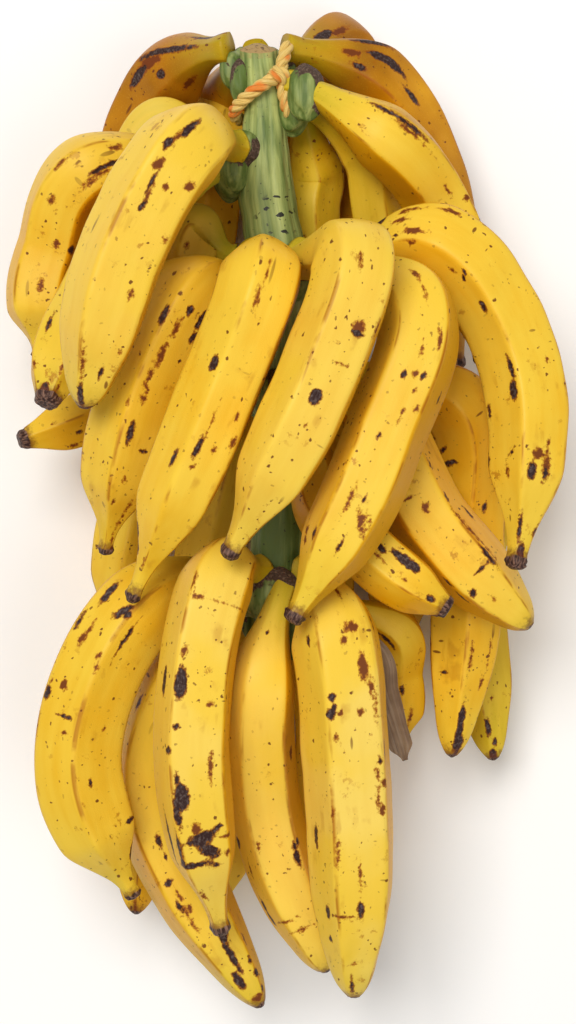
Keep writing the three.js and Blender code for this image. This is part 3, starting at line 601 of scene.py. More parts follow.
class Layout:
    """The settled arrangement of the bunch, worked out as that of the solids was."""

    def __init__(self) -> None:
        """Reads the plans and lets the fingers settle."""
        heights: list[float] = []
        plans: list[FingerPlan] = []
        self.names: list[str] = []
        for hand in HANDS:
            for k, plan in enumerate(hand.fingers):
                heights.append(hand.height + (-ROW_SHIFT if k % 2 else ROW_SHIFT))
                plans.append(plan)
                self.names.append(f"{hand.name}_finger_{k + 1}")
        heights.append(BRACT_HEIGHT)
        plans.append(BRACT_PLAN)
        self.names.append("dried_bract")
        self.plans = plans
        centre, radius = stalk_at(np.array(heights))
        self.out = outward(np.array([plan.angle for plan in plans], float))
        self.roots = centre + (radius + NECK_ROOT_OUT)[:, None] * self.out
        self.girths = np.array([plan.girth for plan in plans], float)
        self.wanted = np.array([[plan.shoulder, plan.belly, plan.tip] for plan in plans], float)
        self.points = self.wanted.copy()
        self._settle()
        self.shift = self._find_shift()

    def lines(self, rows: Array) -> Array:
        """Middle lines of all fingers at rows of curve weights."""
        moved = np.einsum("uw,iwc->iuc", rows[:, 1:4], self.points)
        return moved + rows[:, 0, None] * self.roots[:, None] + rows[:, 4, None] * self.out[:, None]

    @staticmethod
    def _by_pair(values: Array, count: int) -> Array:
        """A square table over all samples of all fingers, regrouped so that each pair has one row."""
        samples = len(values) // count
        return values.reshape(count, samples, count, samples).transpose(0, 2, 1, 3).reshape(count, count, -1)

    def _settle(self) -> None:
        """Pushes fingers apart, and off the stalk and the ground, until none cross."""
        places = np.linspace(0, 1, SAMPLES)
        places = places[places > FREE_FROM]
        rows = curve_weights(places)
        size = (rows[:, 1:4] ** 2).sum(1)
        neck = int(np.argmax(places > CLEAR_FROM))
        reach = self.girths[:, None] * fullness(places) / 2
        count, samples = reach.shape
        low, high = STALK[-1][1], STALK[0][1]
        posts, widths = stalk_at(np.linspace(low, high, POSTS))
        levels = np.array([hand.height for hand in HANDS]) - CUSHION_DROP
        near = 1 - np.abs(posts[:, 1, None] - levels) / (CUSHION_LENGTH * CUSHION_RADIUS + GAP)
        widths = widths + (CUSHION_OUT + CUSHION_RADIUS) * np.sqrt(np.maximum(0, near.max(1)))
        rooms = self._by_pair(reach.reshape(-1, 1) + reach.reshape(1, -1) + GAP, count)
        rooms[np.arange(count), np.arange(count)] = -1
        trunk_rooms = reach[:, neck:, None] + widths + GAP
        every = np.arange(count)
        for step in range(SETTLE_STEPS):
            hold = HOLD * max(0.0, 1 - step / (HOLD_UNTIL * SETTLE_STEPS))
            self.points += (self.wanted - self.points) * np.array([hold, hold, hold * HOLD_UPRIGHT])
            lines = self.lines(rows)
            flat = lines.reshape(-1, 3)
            square = (flat**2).sum(1)
            apart = np.sqrt(np.maximum(square[:, None] + square[None] - 2 * flat @ flat.T, 0))
            depth = rooms - self._by_pair(apart, count)
            worst = depth.argmax(2)
            deep = np.take_along_axis(depth, worst[..., None], 2)[..., 0]
            i, j = np.nonzero(deep > 0)
            u, v = np.divmod(worst[i, j], samples)
            shove = unit(lines[i, u] - lines[j, v]) * (FINGER_PUSH * deep[i, j])[:, None]
            moves = np.zeros_like(self.points)
            np.add.at(moves, i, shove[:, None] * (rows[u, 1:4] / size[u, None])[..., None])
            gaps = np.linalg.norm(lines[:, neck:, None] - posts, axis=-1)
            trunk = (trunk_rooms - gaps).reshape(count, -1)
            worst = trunk.argmax(1)
            i = np.nonzero(trunk[every, worst] > 0)[0]
            u, v = np.divmod(worst[i], POSTS)
            shove = unit(lines[i, u + neck] - posts[v]) * (FIXED_PUSH * trunk[i, worst[i]])[:, None]
            moves[i] += shove[:, None] * (rows[u + neck, 1:4] / size[u + neck, None])[..., None]
            sink = GROUND + reach - lines[..., 2]
            u = sink.argmax(1)
            i = np.nonzero(sink[every, u] > 0)[0]
            u = u[i]
            moves[i, :, 2] += (rows[u, 1:4] / size[u, None]) * (FIXED_PUSH * sink[i, u])[:, None]
            self.points += moves

    def _find_shift(self) -> Array:
        """How far the frame's origin lies from the layout's, from the boxes of the finger solids."""
        centre_gaps, size_gaps = [], []
        for index, name in enumerate(self.names[:-1]):
            rings = self._rings(index)
            low, high = (np.array(corner) * 1000 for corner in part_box(name))
            own_low, own_high = rings.reshape(-1, 3).min(0), rings.reshape(-1, 3).max(0)
            centre_gaps.append((low + high - own_low - own_high) / 2)
            size_gaps.append((high - low) - (own_high - own_low))
        shift = np.median(np.array(centre_gaps), 0)
        shift[2] = -(GROUND + FLAT_DEPTH)
        off = np.abs(np.array(centre_gaps)[:, :2] - shift[:2]).max()
        logging.info("shift %s, farthest finger off by %.2f mm", np.round(shift, 3), off)
        return shift

    def _rings(self, index: int) -> Array:
        """Corners of one finger's solid: its rings, with ridges and flats in turn."""
        places = np.array(RING_PLACES, float)
        points = self.lines(curve_weights(places))[index]
        across, side = frames_out(points, FACING_RING)
        share = np.where(np.arange(2 * RIDGES) % 2, FACE_SHARE, 1.0)
        reach = self.girths[index] / 2 * fullness(places)[:, None, None] * share[None, :, None]
        return points[:, None] + reach * spokes(turns(2 * RIDGES), across, side)

    def place(self, points: Array) -> Array:
        """Layout millimetres to metres in the frame, with nothing under the ground."""
        placed = (points + self.shift) / 1000
        placed[..., 2] = np.maximum(placed[..., 2], 0)
        return placed

    @staticmethod
    def seen_at(points: Array) -> Array:
        """Pixels of the photograph at which layout points show."""
        scale = PHOTO_SCALE * (CAMERA_RISE - points[..., 2]) / CAMERA_RISE
        x = PHOTO_SIZE[0] / 2 + points[..., 0] / scale
        y = PHOTO_SIZE[1] / 2 - points[..., 1] / scale
        return np.stack([x, y], -1)


# Meshes


@dataclass
class Patch:
    """A closed surface on a grid: rows of points round a line, with a pole at each end.

    points has rows, columns and 3; layers holds named numbers for each grid point.
    """

    points: Array
    layers: dict[str, Array] = field(default_factory=dict)

    def vertices(self) -> Array:
        """All points, then the two poles."""
        poles = np.stack([self.points[0].mean(0), self.points[-1].mean(0)])
        return np.concatenate([self.points.reshape(-1, 3), poles])

    def layer(self, name: str) -> Array:
        """A layer's values, with its ends' means for the poles."""
        values = self.layers[name]
        ends = np.stack([values[0].mean(0), values[-1].mean(0)])
        return np.concatenate([values.reshape((-1,) + values.shape[2:]), ends])

    def faces(self, first: int = 0) -> list[tuple[int, ...]]:
        """Quads between the rows and triangles at the poles, turned outwards.

        Args:
            first: index of this patch's first vertex in the whole mesh.

        Returns:
            The faces.
        """
        rows, columns = self.points.shape[:2]
        r, c = np.meshgrid(np.arange(rows - 1), np.arange(columns), indexing="ij")
        n = (c + 1) % columns
        quads = np.stack([r * columns + c, r * columns + n, (r + 1) * columns + n, (r + 1) * columns + c], -1)
        c = np.arange(columns)
        n = (c + 1) % columns
        start = np.stack([np.full(columns, rows * columns), n, c], -1)
        last = (rows - 1) * columns
        end = np.stack([np.full(columns, rows * columns + 1), last + c, last + n], -1)
        parts = (quads.reshape(-1, 4), start, end)
        return [tuple(face) for part in parts for face in (part + first).tolist()]


def make_piece(
    name: str, patches: Sequence[Patch], layout: Layout, material: bpy.types.Material, slot: str, *nodes: str
) -> bpy.types.Object:
    """Makes one piece of the object from its patches, dresses it and ties it to the frame.

    Args:
        name: the piece's name.
        patches: surfaces in layout millimetres.
        layout: places them in the frame.
        material: its finish.
        slot: the record's material slot; not used.
        *nodes: the solids that it stands for.

    Returns:
        The new object.
    """
    points = layout.place(np.concatenate([patch.vertices() for patch in patches]))
    faces: list[tuple[int, ...]] = []
    first = 0
    for patch in patches:
        faces += patch.faces(first)
        first += patch.points.shape[0] * patch.points.shape[1] + 2
    mesh = bpy.data.meshes.new(name)
    mesh.from_pydata(points.tolist(), [], faces)
    mesh.polygons.foreach_set("use_smooth", np.ones(len(faces), bool))
    for layer in patches[0].layers:
        values = np.concatenate([patch.layer(layer) for patch in patches]).astype(np.float32)
        kind, key = ("FLOAT_VECTOR", "vector") if values.ndim == 2 else ("FLOAT", "value")
        mesh.attributes.new(layer, kind, "POINT").data.foreach_set(key, values.reshape(-1))
    mesh.materials.append(material)
    mesh.update()
    piece = bpy.data.objects.new(name, mesh)
    bpy.context.scene.collection.objects.link(piece)
    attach(piece, "root")
    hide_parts(*nodes)
    logging.info("%s: %d faces", name, len(faces))
    return piece


# Materials


class Value:
    """A socket of a material, on which arithmetic adds Math nodes."""

    def __init__(self, shader: "Shader", socket: bpy.types.NodeSocket) -> None:
        """Keeps the socket and its material."""
        self.shader = shader
        self.socket = socket

    def _math(self, operation: str, *operands: Any) -> "Value":
        """A Math node on the operands."""
        return self.shader.node("ShaderNodeMath", {"operation": operation}, dict(enumerate(operands)))

    def __add__(self, other: Any) -> "Value":
        """Sum."""
        return self._math("ADD", self, other)

    __radd__ = __add__

    def __sub__(self, other: Any) -> "Value":
        """Difference."""
        return self._math("SUBTRACT", self, other)

    def __rsub__(self, other: Any) -> "Value":
        """Difference from a number."""
        return self._math("SUBTRACT", other, self)

    def __mul__(self, other: Any) -> "Value":
        """Product."""
        return self._math("MULTIPLY", self, other)

    __rmul__ = __mul__

    def most(self, other: Any) -> "Value":
        """The greater of the two."""
        return self._math("MAXIMUM", self, other)

    def clamp(self) -> "Value":
        """Kept between 0 and 1."""
        return self.shader.node("ShaderNodeClamp", {}, {0: self})

    def rise(self, low: float, high: float) -> "Value":
        """Smooth rise from 0 at low to 1 at high, or a fall where low is the greater."""
        first, last = (0.0, 1.0) if low < high else (1.0, 0.0)
        ends = {1: min(low, high), 2: max(low, high), 3: first, 4: last}
        return self.shader.node("ShaderNodeMapRange", {"interpolation_type": "SMOOTHSTEP"}, {0: self, **ends})


class Shader:
    """Builds one material."""

    def __init__(self, name: str) -> None:
        """Starts an empty material."""
        self.material = bpy.data.materials.new(name)
        self.material.use_nodes = True
        self.tree = self.material.node_tree
        self.tree.nodes.clear()

    def node(self, kind: str, settings: dict[str, Any], sockets: dict[Any, Any], out: Any = 0) -> Value:
        """Adds a node.

        Args:
            kind: the node's type.
            settings: its properties, set first.
            sockets: values or links for its inputs, by name or number.
            out: the output that is returned.

        Returns:
            That output.
        """
        node = self.tree.nodes.new(kind)
        for key, setting in settings.items():
            setattr(node, key, setting)
        for key, value in sockets.items():
            if isinstance(value, Value):
                self.tree.links.new(value.socket, node.inputs[key])
            else:
                node.inputs[key].default_value = value
        return Value(self, node.outputs[out])

    def layer(self, name: str, vector: bool = False) -> Value:
        """The mesh's own numbers of that name."""
        return self.node("ShaderNodeAttribute", {"attribute_name": name}, {}, "Vector" if vector else "Fac")

    def place(self) -> Value:
        """Object coordinates in metres."""
        return self.node("ShaderNodeTexCoord", {}, {}, "Object")

    def stretched(self, vector: Value, x: float, y: float, z: float) -> Value:
        """A vector scaled on each axis."""
        return self.node("ShaderNodeVectorMath", {"operation": "MULTIPLY"}, {0: vector, 1: (x, y, z)})

    def warped(self, vector: Value, scale: float, amount: float) -> Value:
        """A vector moved about by coloured noise."""
        noise = self.node("ShaderNodeTexNoise", {}, {"Vector": vector, "Scale": scale, "Detail": 2.0}, 1)
        centred = self.node("ShaderNodeVectorMath", {"operation": "SUBTRACT"}, {0: noise, 1: (0.5, 0.5, 0.5)})
        moved = self.stretched(centred, amount, amount, amount)
        return self.node("ShaderNodeVectorMath", {"operation": "ADD"}, {0: vector, 1: moved})

    def noise(self, vector: Value, scale: float, detail: float = 3.0, roughness: float = 0.5) -> Value:
        """Noise between 0 and 1 at a number of cells to the metre."""
        inputs = {"Vector": vector, "Scale": scale, "Detail": detail, "Roughness": roughness}
        return self.node("ShaderNodeTexNoise", {}, inputs)

    def streaks(self, vector: Value, scale: float, pull: float, detail: float) -> Value:
        """Noise drawn out along the third axis, with a share, pull, of the cells there."""
        return self.noise(self.stretched(vector, 1, 1, pull), scale, detail)

    def spots(self, vector: Value, scale: float, radius: float, share: float) -> Value:
        """Round spots of mixed sizes in a share of the cells.

        Args:
            vector: where the pattern lies.
            scale: cells to the metre.
            radius: the largest spot's radius as a share of a cell.
            share: how many cells hold one.

        Returns:
            1 in a spot and 0 outside.
        """
        inputs = {"Vector": vector, "Scale": scale, "Randomness": 1.0}
        distance = self.node("ShaderNodeTexVoronoi", {}, inputs)
        chance = self.split(Value(self, distance.socket.node.outputs["Color"]))
        size = (chance - (1 - share)) * (radius / share)
        return (size - distance).rise(-0.1 * radius, 0.25 * radius)

    def split(self, colour: Value) -> Value:
        """A colour's first channel."""
        return self.node("ShaderNodeSeparateColor", {}, {0: colour})

    def mix(self, low: Any, high: Any, factor: Any) -> Value:
        """Colour between low and high."""
        low, high = (end if isinstance(end, Value) else (*end, 1.0) for end in (low, high))
        return self.node("ShaderNodeMix", {"data_type": "RGBA"}, {0: factor, 6: low, 7: high}, 2)

    def close(
        self, colour: Value, roughness: Any, height: Value, depth: float, fixed: dict[str, Any]
    ) -> bpy.types.Material:
        """Joins everything to the surface.

        Args:
            colour: base colour.
            roughness: roughness, a number or a socket.
            height: relief, 0 to 1.
            depth: what a height of 1 measures, in metres.
            fixed: constants of the surface shader.

        Returns:
            The finished material.
        """
        bump = self.node("ShaderNodeBump", {}, {"Strength": 1.0, "Distance": depth, "Height": height})
        inputs = {"Base Color": colour, "Roughness": roughness, "Normal": bump, **fixed}
        surface = self.node("ShaderNodeBsdfPrincipled", {}, inputs)
        output = self.tree.nodes.new("ShaderNodeOutputMaterial")
        self.tree.links.new(surface.socket, output.inputs["Surface"])
        return self.material


@dataclass(frozen=True)
class SkinFinish:
    """Ripe plantain skin: wax-coated yellow with green hints, freckles, scratches, scars and dried tips, with
    painted shade on its sides and a painted highlight.
    """

    pale: Colour = (0.88, 0.575, 0.05)
    golden: Colour = (0.82, 0.395, 0.003)
    orange: Colour = (0.58, 0.20, 0.001)
    overripe: Colour = (0.30, 0.12, 0.004)
    green: Colour = (0.42, 0.36, 0.01)
    # colour of the painted highlight
    painted_highlight_cream: Colour = (0.92, 0.70, 0.18)
    amber: Colour = (0.36, 0.10, 0.002)
    rust: Colour = (0.13, 0.026, 0.006)
    scar: Colour = (0.035, 0.014, 0.012)
    ash: Colour = (0.12, 0.085, 0.075)
    husk: Colour = (0.24, 0.13, 0.09)
    relief: float = 0.0011

    def material(self) -> bpy.types.Material:
        """Builds the material from the layers straight, tone, green, aside (painted shade on the sides),
        ridge, rust, dark and stub.

        Patterns lie on the straightened finger, so that they follow its bend.

        Returns:
            The finished material.
        """
        shader = Shader("plantain_skin")
        straight = shader.layer("straight", True)
        tone, green, aside = shader.layer("tone"), shader.layer("green"), shader.layer("aside")
        cloud = shader.noise(straight, 16, 3)
        streak = shader.streaks(straight, 130, 0.12, 4)
        grain = shader.noise(straight, 1400, 2)

        # Ground colour: pale on the sunny side and golden beside it, which is painted light and shade, mixed
        # with tone and noise; a painted cream highlight where palest, and green where unripe
        warm = (tone * 0.5 + cloud * 1.9 - 0.85 + aside * 1.4 + (streak - 0.5) * 0.9).clamp()
        colour = shader.mix(self.pale, self.golden, warm)
        # Painted highlight: cream on the pale faces of the paler fingers
        painted_highlight = (0 - tone * 1.7).clamp() * (1 - aside) * cloud.rise(0.36, 0.58)
        colour = shader.mix(colour, self.painted_highlight_cream, painted_highlight * 0.65)
        # Deep orange from tone and noise, plus painted shade on the side faces
        deep = (tone * 0.6 + (cloud - 0.5) * 0.6 - 0.32 + aside * 0.75).clamp()
        colour = shader.mix(colour, self.orange, deep)
        colour = shader.mix(colour, self.overripe, (tone + (cloud - 0.5) * 2.5 - 1).clamp())
        colour = shader.mix(colour, self.green, (green * (0.35 + streak * 1.1)).clamp())
        colour = shader.mix(colour, self.pale, grain.rise(0.55, 0.8) * 0.25)

        # Rubbed ridges and faint bruises
        bruise = shader.noise(straight, 40, 4)
        rubbed = shader.layer("ridge").rise(0.5, 1.0) * bruise.rise(0.45, 0.58) * streak.rise(0.4, 0.55)
        faint = bruise.rise(0.6, 0.7) * streak.rise(0.45, 0.6) * 0.4
        colour = shader.mix(colour, self.amber, rubbed.most(faint) * 0.8)

        # Smears, freckles and scratches, which crowd in some places
        ragged = shader.warped(straight, 260, 0.004)
        crowd = shader.noise(straight, 22, 2).rise(0.42, 0.62)
        smear = shader.noise(ragged, 95, 5, 0.7).rise(0.6, 0.67) * crowd
        colour = shader.mix(colour, self.amber, smear * 0.6)
        fine = shader.spots(ragged, 310, 0.32, 0.35) * (0.3 + crowd * 0.7)
        dots = fine.most(shader.spots(ragged, 150, 0.22, 0.3))
        long = shader.warped(shader.stretched(straight, 1, 1, 0.22), 60, 0.006)
        cross = shader.warped(shader.stretched(straight, 0.3, 0.3, 1), 60, 0.006)
        scratch = shader.spots(long, 130, 0.2, 0.2).most(shader.spots(cross, 140, 0.16, 0.16))
        colour = shader.mix(colour, self.rust, (dots * 0.9).most(scratch * (0.25 + crowd * 0.6)))

        # Rust and dark scars with frayed edges
        rough = (shader.noise(straight, 330, 5, 0.65) - 0.5) * 9
        coarse = (shader.noise(straight, 120, 2) - 0.5) * 4
        frayed = shader.layer("rust") + rough * 0.75 + coarse * 0.6
        rusty = frayed.rise(0.8, -0.6)
        edge = shader.layer("dark") + rough * 0.45 + coarse * 0.5
        halo = edge.rise(1.1, 0.1)
        black = edge.rise(0.3, -0.3)
        colour = shader.mix(colour, self.amber, rusty.most(halo) * 0.9)
        colour = shader.mix(colour, self.rust, frayed.rise(-0.2, -1.1).most(halo * 0.6) * 0.85)
        ashy = shader.mix(self.scar, self.ash, shader.noise(straight, 500, 3).rise(0.45, 0.75))
        colour = shader.mix(colour, ashy, black)

        # The dried flower end, browned around
        stub = shader.layer("stub")
        dried = (stub + rough * 0.3 + coarse * 0.4).rise(-0.5, 0.7)
        browned = (stub + rough * 1.4 + coarse * 1.5).rise(-6.5, 0.5) * 0.75
        colour = shader.mix(colour, self.rust, browned)
        fibre = shader.streaks(straight, 700, 0.25, 4)
        husk = shader.mix(self.scar, self.husk, fibre.rise(0.4, 0.7))
        colour = shader.mix(colour, husk, dried)

        damage = black.most(dried)
        roughness = (0.36 + streak * 0.12 + rusty.most(dots) * 0.15) * (1 - damage) + damage * 0.45
        height = 0.5 + (grain - 0.5) * 0.1 + (streak - 0.5) * 0.22 - black * 0.3 - rusty * 0.12
        height = height + (fibre - 0.5) * damage * 0.9 - dots * 0.1
        return shader.close(colour, roughness, height, self.relief, {"Specular IOR Level": 0.22, "IOR": 1.45})


@dataclass(frozen=True)
class StalkFinish:
    """Fresh stalk: green with paler lengthwise fibres, black dashes and specks, cork and a tan cut end."""

    light: Colour = (0.46, 0.52, 0.17)
    deep: Colour = (0.10, 0.155, 0.03)
    speck: Colour = (0.02, 0.02, 0.012)
    cork: Colour = (0.075, 0.042, 0.028)
    bark: Colour = (0.20, 0.13, 0.09)
    cut: Colour = (0.42, 0.27, 0.10)
    pith: Colour = (0.13, 0.07, 0.03)
    relief: float = 0.0014

    def material(self) -> bpy.types.Material:
        """Builds the material from the layers straight, shade, dash, cork and cut."""
        shader = Shader("green_stalk")
        straight = shader.layer("straight", True)
        fibre = shader.streaks(straight, 260, 0.05, 5)
        cloud = shader.noise(straight, 30, 3)
        light = (fibre * 2.2 - 0.62 + (cloud - 0.5) * 0.7 - shader.layer("shade")).clamp()
        colour = shader.mix(self.deep, self.light, light)

        ragged = shader.warped(straight, 200, 0.006)
        dashes = shader.spots(shader.stretched(ragged, 0.45, 0.45, 1), 270, 0.55, 0.9) * shader.layer("dash")
        specks = shader.spots(ragged, 330, 0.3, 0.3)
        colour = shader.mix(colour, self.speck, dashes.rise(0.3, 0.5).most(specks * 0.7))

        bark = (shader.layer("cork") + (shader.noise(straight, 240, 4) - 0.5) * 1.2).rise(0.45, 0.65)
        rind = shader.mix(self.cork, self.bark, shader.noise(straight, 600, 3).rise(0.45, 0.75))
        colour = shader.mix(colour, rind, bark)
        ends = (shader.layer("cut") + (fibre - 0.5) * 0.4).rise(0.4, 0.6)
        pith = shader.mix(self.cut, self.pith, shader.noise(straight, 420, 3).rise(0.5, 0.7))
        colour = shader.mix(colour, pith, ends)

        roughness = 0.52 + bark * 0.3 + ends * 0.2
        height = 0.5 + (fibre - 0.5) * 0.7 + (shader.noise(straight, 700, 3) - 0.5) * (0.1 + bark * 1.2)
        return shader.close(colour, roughness, height, self.relief, {"Specular IOR Level": 0.35})


@dataclass(frozen=True)
class RopeFinish:
    """Twisted plastic twine: pale yellow fibres with orange flecks, and painted shade in the low places
    between the fibres.
    """

    pale: Colour = (0.80, 0.60, 0.24)
    yellow: Colour = (0.74, 0.46, 0.07)
    fleck: Colour = (0.78, 0.20, 0.02)
    painted_groove_shade: Colour = (0.25, 0.15, 0.05)
    roughness: float = 0.6
    relief: float = 0.0009

    def material(self) -> bpy.types.Material:
        """Builds the material from the layer straight, which runs along each strand."""
        shader = Shader("rope")
        straight = shader.layer("straight", True)
        fibre = shader.streaks(straight, 1500, 0.1, 4)
        stained = shader.noise(straight, 55, 2).rise(0.52, 0.6)
        colour = shader.mix(self.yellow, self.pale, (fibre * 1.6 - 0.3).clamp())
        colour = shader.mix(colour, self.fleck, stained * (0.5 + fibre * 0.8))
        # Painted shade: darker brown where the fibre relief is low
        colour = shader.mix(colour, self.painted_groove_shade, fibre.rise(0.42, 0.3) * 0.6)
        return shader.close(colour, self.roughness, fibre, self.relief, {"Specular IOR Level": 0.3})


@dataclass(frozen=True)
class BractFinish:
    """Dried papery bract: grey brown with dark veins that run its length."""

    grey: Colour = (0.44, 0.33, 0.23)
    brown: Colour = (0.13, 0.07, 0.04)
    speck: Colour = (0.035, 0.02, 0.015)
    roughness: float = 0.78
    relief: float = 0.0012

    def material(self) -> bpy.types.Material:
        """Builds the material from the layer straight."""
        shader = Shader("dried_leaf")
        straight = shader.layer("straight", True)
        vein = shader.streaks(straight, 480, 0.04, 4)
        cloud = shader.noise(straight, 60, 3)
        colour = shader.mix(self.brown, self.grey, (vein * 1.5 - 0.3 + (cloud - 0.5) * 0.9).clamp())
        colour = shader.mix(colour, self.speck, shader.spots(straight, 300, 0.2, 0.3) * 0.7)
        return shader.close(colour, self.roughness, vein, self.relief, {"Specular IOR Level": 0.25})


@dataclass(frozen=True)
class FloorFinish:
    """Plain pale floor."""

    tint: Colour = (0.96, 0.965, 0.975)
    mottle: Colour = (0.97, 0.97, 0.975)
    roughness: float = 0.9
    relief: float = 0.00005

    def material(self) -> bpy.types.Material:
        """Builds the material."""
        shader = Shader("pale_floor")
        place = shader.place()
        colour = shader.mix(self.tint, self.mottle, shader.noise(place, 3, 2))
        grain = shader.noise(place, 400, 1)
        return shader.close(colour, self.roughness, grain, self.relief, {"Specular IOR Level": 0.1})


# The pieces


@dataclass
class Finger:
    """One plantain finger."""

    layout: Layout
    index: int
    rows: int = 112
    columns: int = 88
    hidden_rows: int = 84
    hidden_columns: int = 60
    tip_from: float = 0.93
    facet: float = 0.94
    sharpness: float = 26.0
    ridge_drift: float = 0.13
    ridge_width: float = 0.09
    seed: int = 1000
    dent_seed: int = 50
    torn_seed: int = 90

    def __post_init__(self) -> None:
        """Looks up its plan."""
        self.plan = self.layout.plans[self.index]
        self.name = self.layout.names[self.index]
        if not self.plan.in_view:
            self.rows, self.columns = self.hidden_rows, self.hidden_columns
        self.rng = np.random.default_rng(self.seed + self.index)

    def places(self) -> Array:
        """Shares of the length at which rows lie, closer together at the tip."""
        ends = self.rows // 4
        body = np.linspace(0, self.tip_from, self.rows - ends, endpoint=False)
        tip = self.tip_from + (1 - self.tip_from) * np.sin(np.linspace(0, math.pi / 2, ends))
        return np.concatenate([body, tip])

    def _first_ridge(self, ahead: Array, across: Array, side: Array) -> float:
        """Angle at which a ridge shows where the plan puts it, seen from above.

        The sideways share of the ridge's direction is set by the plan, and the rest of it points up.

        Args:
            ahead: the finger's run.
            across: first direction across it.
            side: second direction across it.

        Returns:
            The angle in radians.
        """
        right = unit(np.cross(ahead, [0.0, 0.0, 1.0]))
        right *= np.sign(right[0])
        up = unit(np.cross(right, unit(ahead)))
        up *= np.sign(up[2])
        share = 2 * self.plan.ridge - 1
        way = share * right + math.sqrt(1 - share**2) * up
        return math.atan2(float(way @ side), float(way @ across))

    def section(self, angle: Array, first: float) -> tuple[Array, Array, Array]:
        """Rounded five-sided outline, as a share of its greatest reach.

        Each side is a straight line at its own distance. Their soft least, a power mean of the
        reciprocals, rounds the corners, and a share of a circle swells the sides.

        Args:
            angle: angles round the middle line.
            first: angle of the first ridge.

        Returns:
            The reach, how near a ridge each angle is, from 0 to 1, and the angle its side faces.
        """
        corners = turns(RIDGES)
        corners[1:] += self.rng.uniform(-self.ridge_drift, self.ridge_drift, RIDGES - 1)
        angle = angle - first
        following = np.roll(corners, -1)
        following[-1] += 2 * np.pi
        middle, half = (corners + following) / 2, (following - corners) / 2
        facing = np.maximum(np.cos(angle[:, None] - middle), 1e-3) / np.cos(half)
        reach = (facing**self.sharpness).sum(1) ** (-1 / self.sharpness)
        reach /= reach.max()
        ridge = bell(np.abs(wrapped(angle[:, None] - corners)).min(1), self.ridge_width)
        return 1 - self.facet * (1 - reach), ridge, middle[facing.argmax(1)] + first

    def profile(self, place: Array, length: float) -> tuple[Array, Array]:
        """Share of the girth along the finger, with the shape of its neck and dried end.

        Args:
            place: shares of the length.
            length: the finger's length in millimetres.

        Returns:
            The share, and the distance past the start of the dried end in millimetres.
        """
        share = fullness(place) * (1 + 0.3 * bell(place, 0.05))
        if self.plan.end is Tip.ROUND:
            past = ((place - self.tip_from) / (1 - self.tip_from)).clip(0)
            dome = np.sqrt(np.clip(1 - past**2.6, 0, 1)) * (1 - 0.12 * smoothstep(place, 0.8, 0.97))
            return share * dome, (place - 0.994) * length
        waist, flare, start = TIP_SHAPES[self.plan.end]
        pinch = 1 - waist * smoothstep(place, 0.82, 0.965) + flare * 0.4 * smoothstep(place, 0.97, 0.988)
        close = np.sqrt(np.clip(1 - ((place - 0.988) / 0.012).clip(0) ** 2, 0, 1))
        hollow = 0.55 + 0.45 * close if self.plan.end is Tip.DISC else 0.25 + 0.75 * close
        return share * pinch * hollow * np.where(place > 1 - 1e-9, 0.6, 1), (place - start) * length

    def patch(self) -> Patch:
        """The skin as a function of place and angle: the middle line plus the outline times the profile.

        The outline is rounder at the neck and the tip. Small dents cover the skin, and the dried end is torn.

        Returns:
            The finger's patch.
        """
        place = self.places()
        line = self.layout.lines(curve_weights(place))[self.index]
        start = int(np.argmin(np.abs(place - RING_PLACES[FACING_RING])))
        across, side = frames_out(line, start)
        run = run_lengths(line)
        angle = turns(self.columns)
        first = self._first_ridge(line[start + 1] - line[start], across[start], side[start])
        outline, ridge, facing = self.section(angle, first)
        share, stub = self.profile(place, run[-1])
        squared = (smoothstep(place, 0.1, 0.42) * (1 - 0.6 * smoothstep(place, 0.9, 0.97)))[:, None]
        reach = self.plan.girth / 2 * share[:, None] * (1 - (1 - outline) * (0.4 + 0.6 * squared))
        # Painted shade: aside is highest on the faces square to the painted light's way, where the skin is
        # painted golden and orange
        lit = spokes(facing, across, side) @ unit(np.array(PAINTED_LIGHT_WAY))
        way = spokes(angle, across, side)
        bare = line[:, None] + reach[..., None] * way
        dent = (ripple(bare, 42, self.dent_seed + self.index) * 0.35 - 0.45) * np.minimum(reach / 12, 1)
        torn = ripple(bare, 5, self.torn_seed + self.index) * 0.55 * smoothstep(stub, -1.5, 1)[:, None]
        points = bare + way * (dent + torn)[..., None]
        straight = straightened(reach * np.cos(angle), reach * np.sin(angle), run)
        layers = {
            "straight": straight + np.array([self.index * 0.37, self.index * 0.11, 0]),
            "ridge": ridge * smoothstep(place, 0.1, 0.2)[:, None],
            "stub": np.broadcast_to(stub[:, None], reach.shape),
            # painted shade on the side faces
            "aside": bell(lit - 0.05, 0.42),
            "tone": np.full(reach.shape, self.plan.tone),
            "green": self._green(place, reach.shape),
        }
        layers.update(self._stains(points, way, run, angle, reach))
        return Patch(points, layers)

    def _green(self, place: Array, shape: tuple[int, ...]) -> Array:
        """Unripe tint: the plan's share all over, and more on the neck and just before the tip."""
        neck = 1 - smoothstep(place, 0.05, 0.2)
        tip = smoothstep(place, 0.85, 0.96)
        green = self.plan.green + 0.65 * neck + (0.12 + 0.5 * self.plan.green) * tip
        return np.broadcast_to(green[:, None], shape)

    def _marks(self) -> list[tuple[Mark, bool]]:
        """The scars that show in the photograph, then seeded ones for the sides that it doesn't show.

        A seeded scar holds its share of the length and its angle in place of the pixels.

        Returns:
            Each scar, and whether the photograph shows it.
        """
        found = [(mark, True) for mark in self.plan.marks]
        for _ in range(6 if self.plan.in_view else 12):
            stain = Stain.DARK if self.rng.random() < 0.45 else Stain.RUST
            size = self.rng.uniform(1.2, 5.5)
            place, angle = self.rng.uniform(0.2, 0.95), self.rng.uniform(0, 2 * np.pi)
            found.append((Mark(place, angle, size, size * self.rng.uniform(0.25, 0.8), stain), False))
        return found

